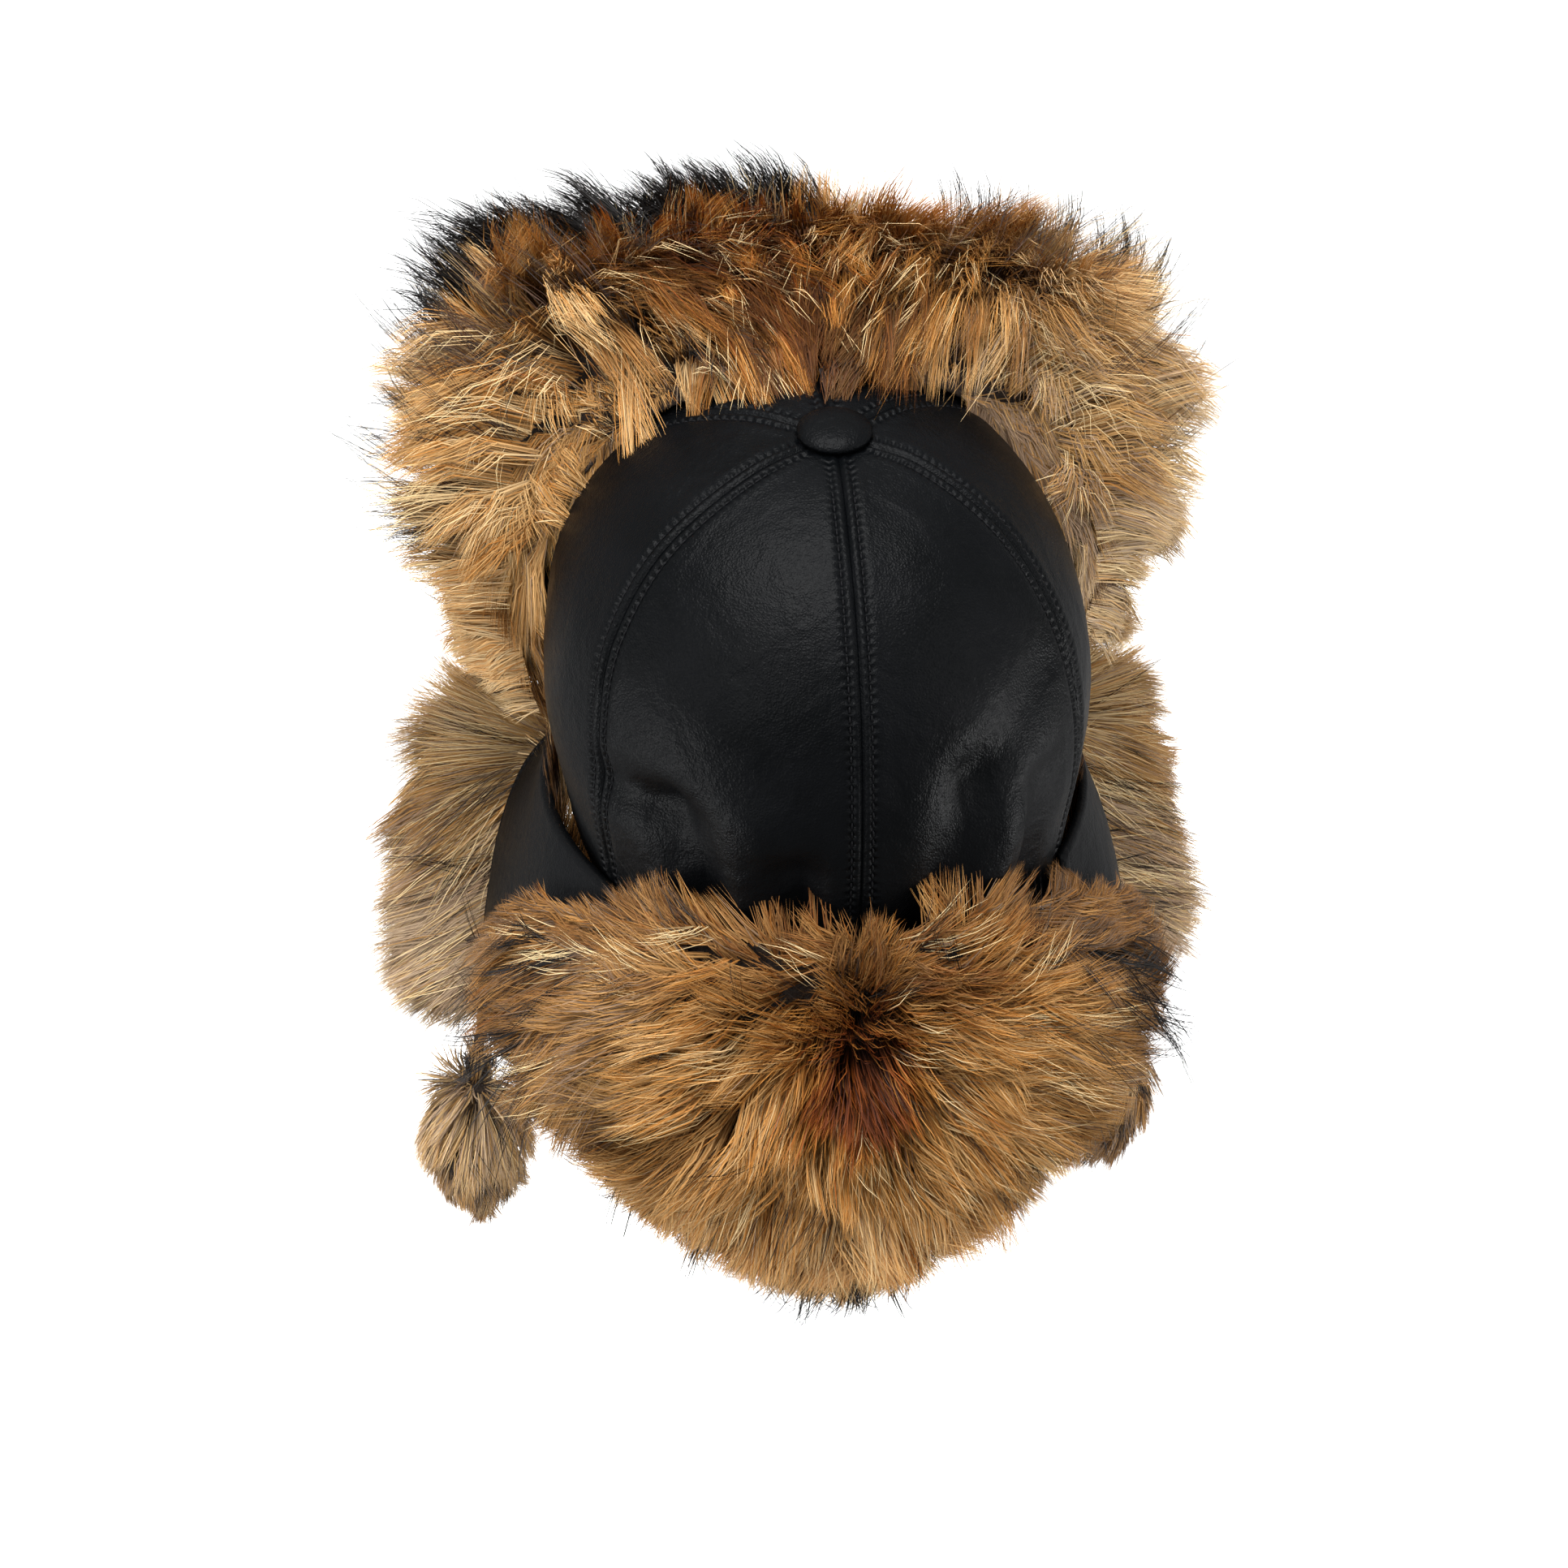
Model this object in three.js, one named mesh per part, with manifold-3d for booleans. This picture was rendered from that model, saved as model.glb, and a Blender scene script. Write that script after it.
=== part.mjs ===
// Leather and fur hat with ear flaps, worn with the visor up and the flaps down.
// Millimetres, +Z up. The front is -Y, the nape is +Y, and the wearer's left is +X.
// The origin is the inside of the crown's top, where the hat sits on the head.
import * as THREE from 'three';
import { mergeVertices } from 'three/addons/utils/BufferGeometryUtils.js';
import Module from 'manifold-3d';

const wasm = await Module();
wasm.setup();

// Driving dimensions
const WALL = 3; // leather with the lining quilted to it
const GAP = 0.4; // clearance at a seam
const SEAT = 0.9; // clearance between two skins with the same facets
const LAY = 2; // clearance between two curved skins whose facets differ
const GORE_TURN = 60; // degrees of the crown that one gore covers
const SEAM_DIP = 1.2; // how far a seam is pulled in
const SEAM_REACH = 3; // how far from a seam the leather is pulled
const APEX = { x: -5, y: 5, lean: 0.09 }; // the seams meet a little right of and behind the middle
const RIM_Z = -150;
const BUTTON = { radius: 12.5, height: 5, shank: 4, shankDrop: 2.6, sides: 16 };
const TIE = { radius: 2, length: 32, sides: 8, steps: 4 };
const TASSEL = { radius: 17, height: 62, sides: 8 };

// Swing is how far out a tie's foot hangs: the left one leans outwards and the right one inwards
const HANDS = [
  { hand: 'left', side: 1, swing: 5 },
  { hand: 'right', side: -1, swing: -4 },
];

// Rings of the crown's outside, from the button down. wide and long are half sizes, and left is
// how much fuller the ring is on the wearer's left.
const CROWN_RINGS = [
  { ring: 'hole', fall: 0, z: 4, wide: 6, left: 1, long: 6 },
  { ring: 'top', fall: 0.12, z: 2.5, wide: 30, left: 1.04, long: 34 },
  { ring: 'shoulder', fall: 0.28, z: -12, wide: 59, left: 1.09, long: 70 },
  { ring: 'side', fall: 0.45, z: -39, wide: 80, left: 1.07, long: 97 },
  { ring: 'upper belly', fall: 0.62, z: -70, wide: 90, left: 1.02, long: 110 },
  { ring: 'belly', fall: 0.76, z: -98, wide: 92, left: 1, long: 113 },
  { ring: 'tuck', fall: 0.89, z: -126, wide: 88, left: 1, long: 110 },
  { ring: 'rim', fall: 1, z: RIM_Z, wide: 84, left: 1, long: 106 },
];

// Gathers at the crown's lower back. A crease runs from its top to its foot, turn in degrees
// from the nape towards the wearer's left, and a negative depth is the roll beside a crease.
const CROWN_FOLDS = [
  { fold: 'left sweep, upper', turn: 57, z: -88, toTurn: 41, toZ: -86, depth: 3.5, width: 9 },
  { fold: 'left sweep, lower', turn: 41, z: -86, toTurn: 29, toZ: -128, depth: 6.5, width: 9 },
  { fold: 'middle roll', turn: 22, z: -82, toTurn: 23, toZ: -118, depth: -4, width: 10 },
  { fold: 'middle hollow', turn: 14, z: -98, toTurn: 13, toZ: -140, depth: 7, width: 8 },
  { fold: 'right sweep, upper', turn: -48, z: -50, toTurn: -25, toZ: -72, depth: 3, width: 10 },
  { fold: 'right sweep, lower', turn: -25, z: -72, toTurn: -13, toZ: -128, depth: 6, width: 9 },
  { fold: 'right roll', turn: -33, z: -92, toTurn: -28, toZ: -120, depth: -4, width: 10 },
  { fold: 'right pucker', turn: -44, z: -86, toTurn: -41, toZ: -128, depth: 5, width: 7 },
];

// The visor by its angle from the front: where its fur starts and ends on the crown, and how deep
// the fur is there as a share of VISOR_DEPTHS. It is deepest at the corners over the temples.
const VISOR_ENDS = [
  { from: 0, foot: 1, furTop: 0.1, depth: 1 },
  { from: 26, foot: 1, furTop: 0.11, depth: 1.08 },
  { from: 42, foot: 0.97, furTop: 0.14, depth: 1.32 },
  { from: 54, foot: 0.89, furTop: 0.2, depth: 1.36 },
  { from: 66, foot: 0.87, furTop: 0.32, depth: 1.24 },
  { from: 76, foot: 0.86, furTop: 0.46, depth: 0.4 },
];
const VISOR_COLUMNS = [-76, -70, -62, -51, -39, -26, -13, 0, 13, 26, 39, 51, 62, 70, 76];
const VISOR_ROWS = [0, 0.16, 0.34, 0.5, 0.62, 0.74, 0.87, 1];
const VISOR_LEATHER_END = 62;
const VISOR_LEATHER_RISE = 0.62; // share of the fur's way up that has leather behind it
const VISOR_MARGIN = { rise: 0.13, from: 9 }; // how far past the leather its fur stays off the crown

// Depth of the visor's fur from the rim (rise 0) up over the crown's edge to its tips (rise 1).
const VISOR_DEPTHS = [
  { rise: 0, front: 20, temple: 14 },
  { rise: 0.16, front: 38, temple: 23 },
  { rise: 0.34, front: 51, temple: 33 },
  { rise: 0.52, front: 60, temple: 46 },
  { rise: 0.7, front: 58, temple: 50 },
  { rise: 0.86, front: 36, temple: 33 },
  { rise: 1, front: 6, temple: 8 },
];

// Outline of an ear flap by its drop below the rim. back and front are its edges in Y, out is
// the distance of its middle from the head's middle plane, curl is what its edges turn in, and
// tuck is what the back edge turns in further, towards the crown.
const FLAP_ROWS = [
  { drop: -16, back: 58, front: -62, out: 94, curl: 17, tuck: 0 },
  { drop: 0, back: 66, front: -66, out: 99, curl: 14, tuck: 7 },
  { drop: 18, back: 67, front: -70, out: 105, curl: 9, tuck: 12 },
  { drop: 42, back: 53, front: -70, out: 111, curl: 6, tuck: 8 },
  { drop: 66, back: 24, front: -64, out: 115, curl: 4, tuck: 2 },
  { drop: 84, back: -6, front: -54, out: 117, curl: 2, tuck: 0 },
  { drop: 94, back: -22, front: -44, out: 118, curl: 1, tuck: 0 },
];
const FLAP_STATIONS = [-16, -4, 10, 26, 44, 62, 80, 94];
const FLAP_TIP = 94;

// Fur of an ear flap. Its lining lies inside the leather, and its roll stands past the front edge.
const EAR_FUR_ROWS = [
  { drop: 2, lining: 11, roll: 23, ahead: 24 },
  { drop: 20, lining: 15, roll: 29, ahead: 29 },
  { drop: 45, lining: 18, roll: 31, ahead: 30 },
  { drop: 72, lining: 19, roll: 28, ahead: 30 },
  { drop: 90, lining: 16, roll: 23, ahead: 24 },
  { drop: 106, lining: 11, roll: 12, ahead: 14 },
];

// Surface that the nape's leather follows, and the fur on it, by height. span is how far the fur
// spreads from the middle in degrees, and right is the share of it on the wearer's right.
const NAPE_ROWS = [
  { z: -117, wide: 95, long: 115, span: 36, right: 0.87, depth: 9 },
  { z: -133, wide: 97.5, long: 112.5, span: 50, right: 0.87, depth: 25 },
  { z: -150.4, wide: 105, long: 108, span: 68, right: 0.87, depth: 36 },
  { z: -171, wide: 114, long: 109.5, span: 73, right: 0.85, depth: 42 },
  { z: -192, wide: 119, long: 110, span: 61, right: 0.78, depth: 44 },
  { z: -217, wide: 120, long: 110, span: 44, right: 0.7, depth: 42 },
  { z: -240, wide: 120, long: 107, span: 28, right: 0.62, depth: 35 },
  { z: -258, wide: 120, long: 104, span: 14, right: 0.6, depth: 24 },
  { z: -268, wide: 120, long: 102, span: 8, right: 0.6, depth: 13 },
];
const NAPE_LEATHER = { top: RIM_Z - GAP, foot: -240, topSpan: 46, footSpan: 17 };

// Tables are read as smooth curves between their rows.
function readTable(rows, key) {
  const columns = Object.keys(rows[0]).filter((name) => typeof rows[0][name] === 'number');
  const order = rows[0][key] < rows[1][key] ? rows : [...rows].reverse();
  const knots = order.map((row) => row[key]);
  const samples = order.flatMap((row) => columns.map((name) => row[name]));
  const spline = new THREE.CubicInterpolant(knots, samples, columns.length);
  return (at) => {
    const clamped = THREE.MathUtils.clamp(at, knots[0], knots[knots.length - 1]);
    const values = spline.evaluate(clamped);
    return Object.fromEntries(columns.map((name, k) => [name, values[k]]));
  };
}

const crownRing = readTable(CROWN_RINGS, 'fall');
const visorEnd = readTable(VISOR_ENDS, 'from');
const visorDepth = readTable(VISOR_DEPTHS, 'rise');
const flapRow = readTable(FLAP_ROWS, 'drop');
const earFurRow = readTable(EAR_FUR_ROWS, 'drop');
const napeRow = readTable(NAPE_ROWS, 'z');

// Evenly spaced stations
function stations(from, to, count) {
  return Array.from({ length: count + 1 }, (_, k) => THREE.MathUtils.lerp(from, to, k / count));
}

// A repeatable random number for each fur, from 0 to 1
function randomFrom(seed) {
  let state = seed;
  return () => {
    state = (Math.imul(state, 1664525) + 1013904223) >>> 0;
    return state / 2 ** 32;
  };
}

// Outward normal of surface(u, v), which is checked against a point inside the piece
function normalOf(surface, u, v, inside) {
  const step = 1e-3;
  const du = surface(u + step, v).sub(surface(u - step, v));
  const dv = surface(u, v + step).sub(surface(u, v - step));
  const normal = du.cross(dv).normalize();
  const outward = surface(u, v).sub(inside);
  return normal.dot(outward) < 0 ? normal.negate() : normal;
}

// Closed mesh from points and triangles, turned so that its faces point out
function closedMesh(points, triangles) {
  let volume = 0;
  for (const [a, b, c] of triangles) {
    volume += points[a].dot(new THREE.Vector3().crossVectors(points[b], points[c]));
  }
  const faces = volume < 0 ? triangles.map(([a, b, c]) => [a, c, b]) : triangles;
  const geometry = new THREE.BufferGeometry();
  geometry.setAttribute(
    'position',
    new THREE.Float32BufferAttribute(points.flatMap((point) => point.toArray()), 3),
  );
  geometry.setIndex(faces.flat());
  return geometry;
}

// Closed slab between two skins that share the stations us and vs
function slab(us, vs, skin, otherSkin) {
  const points = [];
  const triangles = [];
  const wide = us.length;
  const tall = vs.length;
  for (const side of [skin, otherSkin]) {
    for (const v of vs) {
      for (const u of us) {
        points.push(side(u, v));
      }
    }
  }
  const at = (side, i, j) => side * wide * tall + j * wide + i;
  const quad = (a, b, c, d) => triangles.push([a, b, c], [a, c, d]);
  for (let j = 0; j + 1 < tall; j += 1) {
    for (let i = 0; i + 1 < wide; i += 1) {
      quad(at(0, i, j), at(0, i + 1, j), at(0, i + 1, j + 1), at(0, i, j + 1));
      quad(at(1, i, j), at(1, i, j + 1), at(1, i + 1, j + 1), at(1, i + 1, j));
    }
  }
  for (let i = 0; i + 1 < wide; i += 1) {
    quad(at(1, i, 0), at(1, i + 1, 0), at(0, i + 1, 0), at(0, i, 0));
    quad(at(0, i, tall - 1), at(0, i + 1, tall - 1), at(1, i + 1, tall - 1), at(1, i, tall - 1));
  }
  for (let j = 0; j + 1 < tall; j += 1) {
    quad(at(0, 0, j), at(0, 0, j + 1), at(1, 0, j + 1), at(1, 0, j));
    quad(at(1, wide - 1, j), at(1, wide - 1, j + 1), at(0, wide - 1, j + 1), at(0, wide - 1, j));
  }
  return closedMesh(points, triangles);
}

function solidOf(geometry) {
  const bare = geometry.clone();
  bare.deleteAttribute('normal');
  bare.deleteAttribute('uv');
  const merged = mergeVertices(bare, 1e-4);
  return new wasm.Manifold(
    new wasm.Mesh({
      numProp: 3,
      vertProperties: new Float32Array(merged.attributes.position.array),
      triVerts: new Uint32Array(merged.index.array),
    }),
  );
}

function geometryOf(solid) {
  const mesh = solid.getMesh();
  const geometry = new THREE.BufferGeometry();
  geometry.setAttribute('position', new THREE.Float32BufferAttribute(mesh.vertProperties, 3));
  geometry.setIndex(Array.from(mesh.triVerts));
  return geometry;
}

// Lock of fur: a flat tapering blade with a diamond section, bent from root to tip
const LOCK_TAPER = [0.8, 1, 0.62];
const LOCK_FLATNESS = 0.55;

function lock({ root, tip, bulge, side, width }) {
  const spine = new THREE.QuadraticBezierCurve3(root, bulge, tip);
  const points = [];
  const triangles = [];
  LOCK_TAPER.forEach((share, k) => {
    const t = k / LOCK_TAPER.length;
    const centre = spine.getPoint(t);
    const along = spine.getTangent(t);
    const across = side.clone().addScaledVector(along, -side.dot(along)).normalize();
    const up = new THREE.Vector3().crossVectors(along, across);
    const half = (share * width) / 2;
    points.push(
      centre.clone().addScaledVector(across, half),
      centre.clone().addScaledVector(up, half * LOCK_FLATNESS),
      centre.clone().addScaledVector(across, -half),
      centre.clone().addScaledVector(up, -half * LOCK_FLATNESS),
    );
  });
  points.push(tip);
  triangles.push([0, 1, 2], [0, 2, 3]);
  for (let ring = 0; ring + 1 < LOCK_TAPER.length; ring += 1) {
    for (let k = 0; k < 4; k += 1) {
      const a = ring * 4 + k;
      const b = ring * 4 + ((k + 1) % 4);
      triangles.push([a, a + 4, b + 4], [a, b + 4, b]);
    }
  }
  const last = (LOCK_TAPER.length - 1) * 4;
  for (let k = 0; k < 4; k += 1) {
    triangles.push([last + k, last + 4, last + ((k + 1) % 4)]);
  }
  return closedMesh(points, triangles);
}

// Fur: a body with rows of locks fused to it. Each row of locks lies along u at one v.
// flow(u, v) is the way the hair is combed, and lift is how steeply it stands off the body.
function fur({ us, vs, outer, inner, inside, lockRows, flow, seed }) {
  const random = randomFrom(seed);
  let body = solidOf(slab(us, vs, outer, inner));
  for (const row of lockRows) {
    for (let k = 0; k < row.count; k += 1) {
      const share = (k + 0.5 + 0.5 * (random() - 0.5)) / row.count;
      const u = THREE.MathUtils.lerp(row.from, row.to, share);
      const normal = normalOf(outer, u, row.v, inside);
      const comb = flow(u, row.v).normalize();
      comb.addScaledVector(normal, -comb.dot(normal)).normalize();
      const length = row.length * (0.85 + 0.3 * random());
      const lift = THREE.MathUtils.degToRad(row.lift + 16 * (random() - 0.5));
      const depth = outer(u, row.v).distanceTo(inner(u, row.v));
      const width = Math.min(row.width, 1.5 * depth);
      const root = outer(u, row.v).addScaledVector(normal, -Math.min(0.28 * width, 0.45 * depth));
      const reach = comb.clone().multiplyScalar(Math.cos(lift) * length);
      const tip = root.clone().add(reach).addScaledVector(normal, Math.sin(lift) * length);
      const bulge = root.clone().addScaledVector(reach, 0.45);
      bulge.addScaledVector(normal, 0.75 * Math.sin(lift) * length + 0.22 * width);
      const side = new THREE.Vector3().crossVectors(comb, normal);
      body = body.add(solidOf(lock({ root, tip, bulge, side, width })));
    }
  }
  return geometryOf(body);
}

// Crown
function crownBase(turn, fall) {
  const ring = crownRing(fall);
  const shift = Math.max(0, 1 - fall) ** 2;
  const fuller = Math.sin(turn) > 0 ? ring.left : 1;
  const x = APEX.x * shift + ring.wide * fuller * Math.sin(turn);
  const y = APEX.y * shift + ring.long * Math.cos(turn);
  return new THREE.Vector3(x, y, ring.z - APEX.lean * shift * y);
}

const CROWN_INSIDE = new THREE.Vector3(0, 0, -95);

function crownNormal(turn, fall) {
  return normalOf(crownBase, turn, THREE.MathUtils.clamp(fall, 0.01, 0.99), CROWN_INSIDE);
}

// How far the folds sink the leather at a point, measured on the rolled-out crown
const ROLLED_RADIUS = 98;

function foldDepth(turn, z) {
  const around = Math.atan2(Math.sin(turn), Math.cos(turn));
  const here = new THREE.Vector2(around * ROLLED_RADIUS, z);
  let depth = 0;
  for (const fold of CROWN_FOLDS) {
    const top = new THREE.Vector2(THREE.MathUtils.degToRad(fold.turn) * ROLLED_RADIUS, fold.z);
    const foot = new THREE.Vector2(THREE.MathUtils.degToRad(fold.toTurn) * ROLLED_RADIUS, fold.toZ);
    const run = foot.clone().sub(top);
    const share = THREE.MathUtils.clamp(here.clone().sub(top).dot(run) / run.lengthSq(), 0, 1);
    const away = here.distanceTo(top.addScaledVector(run, share));
    depth += fold.depth * Math.exp(-((away / fold.width) ** 2));
  }
  return depth;
}

function seamDepth(turn, fall) {
  const gore = THREE.MathUtils.degToRad(GORE_TURN);
  const nearest = Math.round(turn / gore) * gore;
  const away = Math.abs(turn - nearest) * crownRing(fall).wide;
  return SEAM_DIP * Math.max(0, 1 - away / SEAM_REACH);
}

function crownOutside(turn, fall) {
  const point = crownBase(turn, fall);
  const depth = foldDepth(turn, point.z) + seamDepth(turn, fall);
  return point.addScaledVector(crownNormal(turn, fall), -depth);
}

function crownInside(turn, fall) {
  const point = crownBase(turn, fall);
  return point.addScaledVector(crownNormal(turn, fall), -foldDepth(turn, point.z) - WALL);
}

const GORE_COLUMNS = [0, 0.05, 0.18, 0.34, 0.5, 0.66, 0.82, 0.95, 1];
const GORE_ROWS = [0, 0.08, 0.18, 0.29, 0.41, 0.53, 0.64, 0.74, 0.83, 0.92, 1];

function gore(firstTurn) {
  const skin = (surface) => (share, fall) => {
    const inset = GAP / 2 / crownRing(fall).wide;
    const from = THREE.MathUtils.degToRad(firstTurn) + inset;
    const to = THREE.MathUtils.degToRad(firstTurn + GORE_TURN) - inset;
    return surface(THREE.MathUtils.lerp(from, to, share), fall);
  };
  return slab(GORE_COLUMNS, GORE_ROWS, skin(crownOutside), skin(crownInside));
}

// Covered button with its shank, which goes down through the hole where the gores meet
const BUTTON_DOME = [
  { at: 'under edge', radius: 0.87, height: 0 },
  { at: 'widest', radius: 1, height: 0.25 },
  { at: 'upper edge', radius: 0.93, height: 0.61 },
  { at: 'crown', radius: 0.6, height: 0.9 },
  { at: 'middle', radius: 0, height: 1 },
];

function button() {
  const dome = BUTTON_DOME.map(
    (ring) => new THREE.Vector2(BUTTON.radius * ring.radius, BUTTON.height * ring.height),
  );
  const profile = [
    new THREE.Vector2(0, -BUTTON.shankDrop),
    new THREE.Vector2(BUTTON.shank, -BUTTON.shankDrop),
    new THREE.Vector2(BUTTON.shank, 0),
    ...dome,
  ];
  return new THREE.LatheGeometry(profile, BUTTON.sides).rotateX(Math.PI / 2);
}

// Visor
const FRONT_TURN = 180;

function onCrown(from, fall, standoff) {
  const turn = THREE.MathUtils.degToRad(FRONT_TURN + from);
  return crownBase(turn, fall).addScaledVector(crownNormal(turn, fall), standoff);
}

function visorFall(from, rise) {
  const end = visorEnd(Math.abs(from));
  return THREE.MathUtils.lerp(end.foot, end.furTop, rise);
}

function visorLeather() {
  return slab(
    VISOR_COLUMNS.filter((from) => Math.abs(from) <= VISOR_LEATHER_END),
    VISOR_ROWS.filter((rise) => rise <= VISOR_LEATHER_RISE),
    (from, rise) => onCrown(from, visorFall(from, rise), LAY + WALL),
    (from, rise) => onCrown(from, visorFall(from, rise), LAY),
  );
}

function visorFurOuter(from, rise) {
  const depths = visorDepth(rise);
  const toTemple = Math.sin(THREE.MathUtils.degToRad(Math.abs(from))) ** 2;
  const depth = THREE.MathUtils.lerp(depths.front, depths.temple, toTemple);
  const standoff = LAY + WALL + depth * visorEnd(Math.abs(from)).depth;
  return onCrown(from, visorFall(from, rise), standoff);
}

// The fur lies on its leather, and past the leather's top and ends on the crown itself
function visorFurInner(from, rise) {
  const lowEnough = rise < VISOR_LEATHER_RISE + VISOR_MARGIN.rise;
  const onLeather = lowEnough && Math.abs(from) < VISOR_LEATHER_END + VISOR_MARGIN.from;
  return onCrown(from, visorFall(from, rise), onLeather ? LAY + WALL + SEAT : LAY);
}

const PARTING = 0.6; // the locks stand up in front of it and fall back over the crown behind it

function visorFur() {
  const upright = (from) => {
    const turn = THREE.MathUtils.degToRad(FRONT_TURN + from);
    return new THREE.Vector3(Math.sin(turn), Math.cos(turn), 0.75);
  };
  const tipward = (from, rise) =>
    visorFurOuter(from, rise + 0.02).sub(visorFurOuter(from, rise - 0.02));
  return fur({
    us: VISOR_COLUMNS,
    vs: VISOR_ROWS,
    outer: visorFurOuter,
    inner: visorFurInner,
    inside: CROWN_INSIDE,
    flow: (from, rise) => (rise > PARTING ? tipward(from, rise) : upright(from)),
    seed: 11,
    lockRows: [
      { v: 0.88, from: -70, to: 70, count: 12, length: 34, width: 25, lift: 10 },
      { v: 0.68, from: -71, to: 71, count: 11, length: 44, width: 30, lift: 26 },
      { v: 0.52, from: -60, to: 60, count: 10, length: 46, width: 32, lift: 44 },
      { v: 0.2, from: -66, to: 66, count: 8, length: 34, width: 30, lift: 26 },
    ],
  });
}

// Ear flaps
function flapPoint(side, across, drop) {
  const row = flapRow(drop);
  const bow = Math.min(1, (2 * across - 1) ** 2);
  const tucked = (1 - across) ** 4;
  return new THREE.Vector3(
    side * (row.out - row.curl * bow - row.tuck * tucked),
    THREE.MathUtils.lerp(row.back, row.front, across),
    RIM_Z - GAP - drop,
  );
}

// The flap is measured out from its face, which stands nearly upright
function flapNormal(side, across, drop) {
  const clear = THREE.MathUtils.clamp(drop, -15, FLAP_TIP - 1);
  const here = THREE.MathUtils.clamp(across, 0, 1);
  const surface = (u, v) => flapPoint(side, u, v);
  const normal = normalOf(surface, here, clear, new THREE.Vector3(0, 0, RIM_Z - drop));
  normal.z = 0;
  return normal.normalize();
}

function onFlap(side, across, drop, standoff) {
  return flapPoint(side, across, drop).addScaledVector(flapNormal(side, across, drop), standoff);
}

function flapLeather(side) {
  return slab(
    [0, 0.08, 0.25, 0.42, 0.58, 0.75, 0.92, 1],
    FLAP_STATIONS,
    (across, drop) => onFlap(side, across, drop, 0),
    (across, drop) => onFlap(side, across, drop, -WALL),
  );
}

// Stations across the fur. Over the lining they follow the leather, and past its front edge they
// go round the roll: ahead is the share of the roll's reach, out and in are the shares of its
// depth outside and inside the flap.
const EAR_ROLL = [
  { step: 1, across: 0.06 },
  { step: 2, across: 0.36 },
  { step: 3, across: 0.68 },
  { step: 4, across: 0.96 },
  { step: 5, ahead: 0, out: 0, in: 1 },
  { step: 6, ahead: 0.05, out: 0.72, in: 1 },
  { step: 7, ahead: 0.34, out: 1, in: 0.95 },
  { step: 8, ahead: 0.7, out: 0.92, in: 0.7 },
  { step: 9, ahead: 0.94, out: 0.5, in: 0.25 },
  { step: 10, ahead: 1, out: 0.1, in: -0.1 },
];
const EDGE_CLEARANCE = 1.4; // between the leather's front edge and the fur's roll

const TIP_RECESS = 0.35; // how steeply the fur draws in below the tip, behind the tie

function earFurSkin(side, outside) {
  return (step, drop) => {
    const row = earFurRow(drop);
    const behind = -WALL - SEAT - TIP_RECESS * Math.max(0, drop - FLAP_TIP);
    const low = Math.floor(THREE.MathUtils.clamp(step, 1, EAR_ROLL.length - 1));
    const [near, far] = [EAR_ROLL[low - 1], EAR_ROLL[low]];
    const blend = (pick) => THREE.MathUtils.lerp(pick(near), pick(far), step - low);
    const outer = (at) => (at.across ? behind : behind + at.out * (row.roll - behind));
    const inner = (at) => behind - (at.in ?? 1) * row.lining;
    const ahead = (at) => (at.across ? 0 : EDGE_CLEARANCE + at.ahead * row.ahead);
    const point = onFlap(side, blend((at) => at.across ?? 1), drop, blend(outside ? outer : inner));
    point.y -= blend(ahead);
    return point;
  };
}

function earFur(side) {
  const outer = earFurSkin(side, true);
  return fur({
    us: EAR_ROLL.map((at) => at.step),
    vs: [2, 10, 26, 44, 62, 80, 94, 106],
    outer,
    inner: earFurSkin(side, false),
    inside: new THREE.Vector3(side * 92, -60, RIM_Z - 55),
    flow: () => new THREE.Vector3(side * 0.45, -0.35, -1),
    seed: side > 0 ? 23 : 29,
    lockRows: [
      { v: 16, from: 6.6, to: 9.4, count: 3, length: 34, width: 21, lift: 14 },
      { v: 40, from: 6.6, to: 9.4, count: 3, length: 36, width: 23, lift: 14 },
      { v: 62, from: 6.6, to: 9.4, count: 3, length: 36, width: 23, lift: 12 },
      { v: 84, from: 6.6, to: 9.4, count: 3, length: 30, width: 20, lift: 6 },
    ],
  });
}

// Nape flap
function napePoint(turn, z, standoff) {
  const row = napeRow(z);
  const angle = THREE.MathUtils.degToRad(turn);
  const across = (row.wide + standoff) * Math.sin(angle);
  return new THREE.Vector3(across, (row.long + standoff) * Math.cos(angle), z);
}

function napeLeather() {
  const { top, foot, topSpan, footSpan } = NAPE_LEATHER;
  const turnAt = (share, z) => {
    const down = (top - z) / (top - foot);
    return share * THREE.MathUtils.lerp(topSpan, footSpan, down ** 2.2);
  };
  return slab(
    stations(-1, 1, 12),
    NAPE_ROWS.map((row) => row.z).filter((z) => z <= top && z >= foot),
    (share, z) => napePoint(turnAt(share, z), z, 0),
    (share, z) => napePoint(turnAt(share, z), z, -WALL),
  );
}

function napeFurTurn(share, z) {
  const row = napeRow(z);
  return share * row.span * (share < 0 ? row.right : 1);
}

function napeFurOuter(share, z) {
  const row = napeRow(z);
  const rounded = 1 - Math.min(1, Math.abs(share)) ** 3;
  return napePoint(napeFurTurn(share, z), z, LAY + 7 + (row.depth - 7) * rounded);
}

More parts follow.
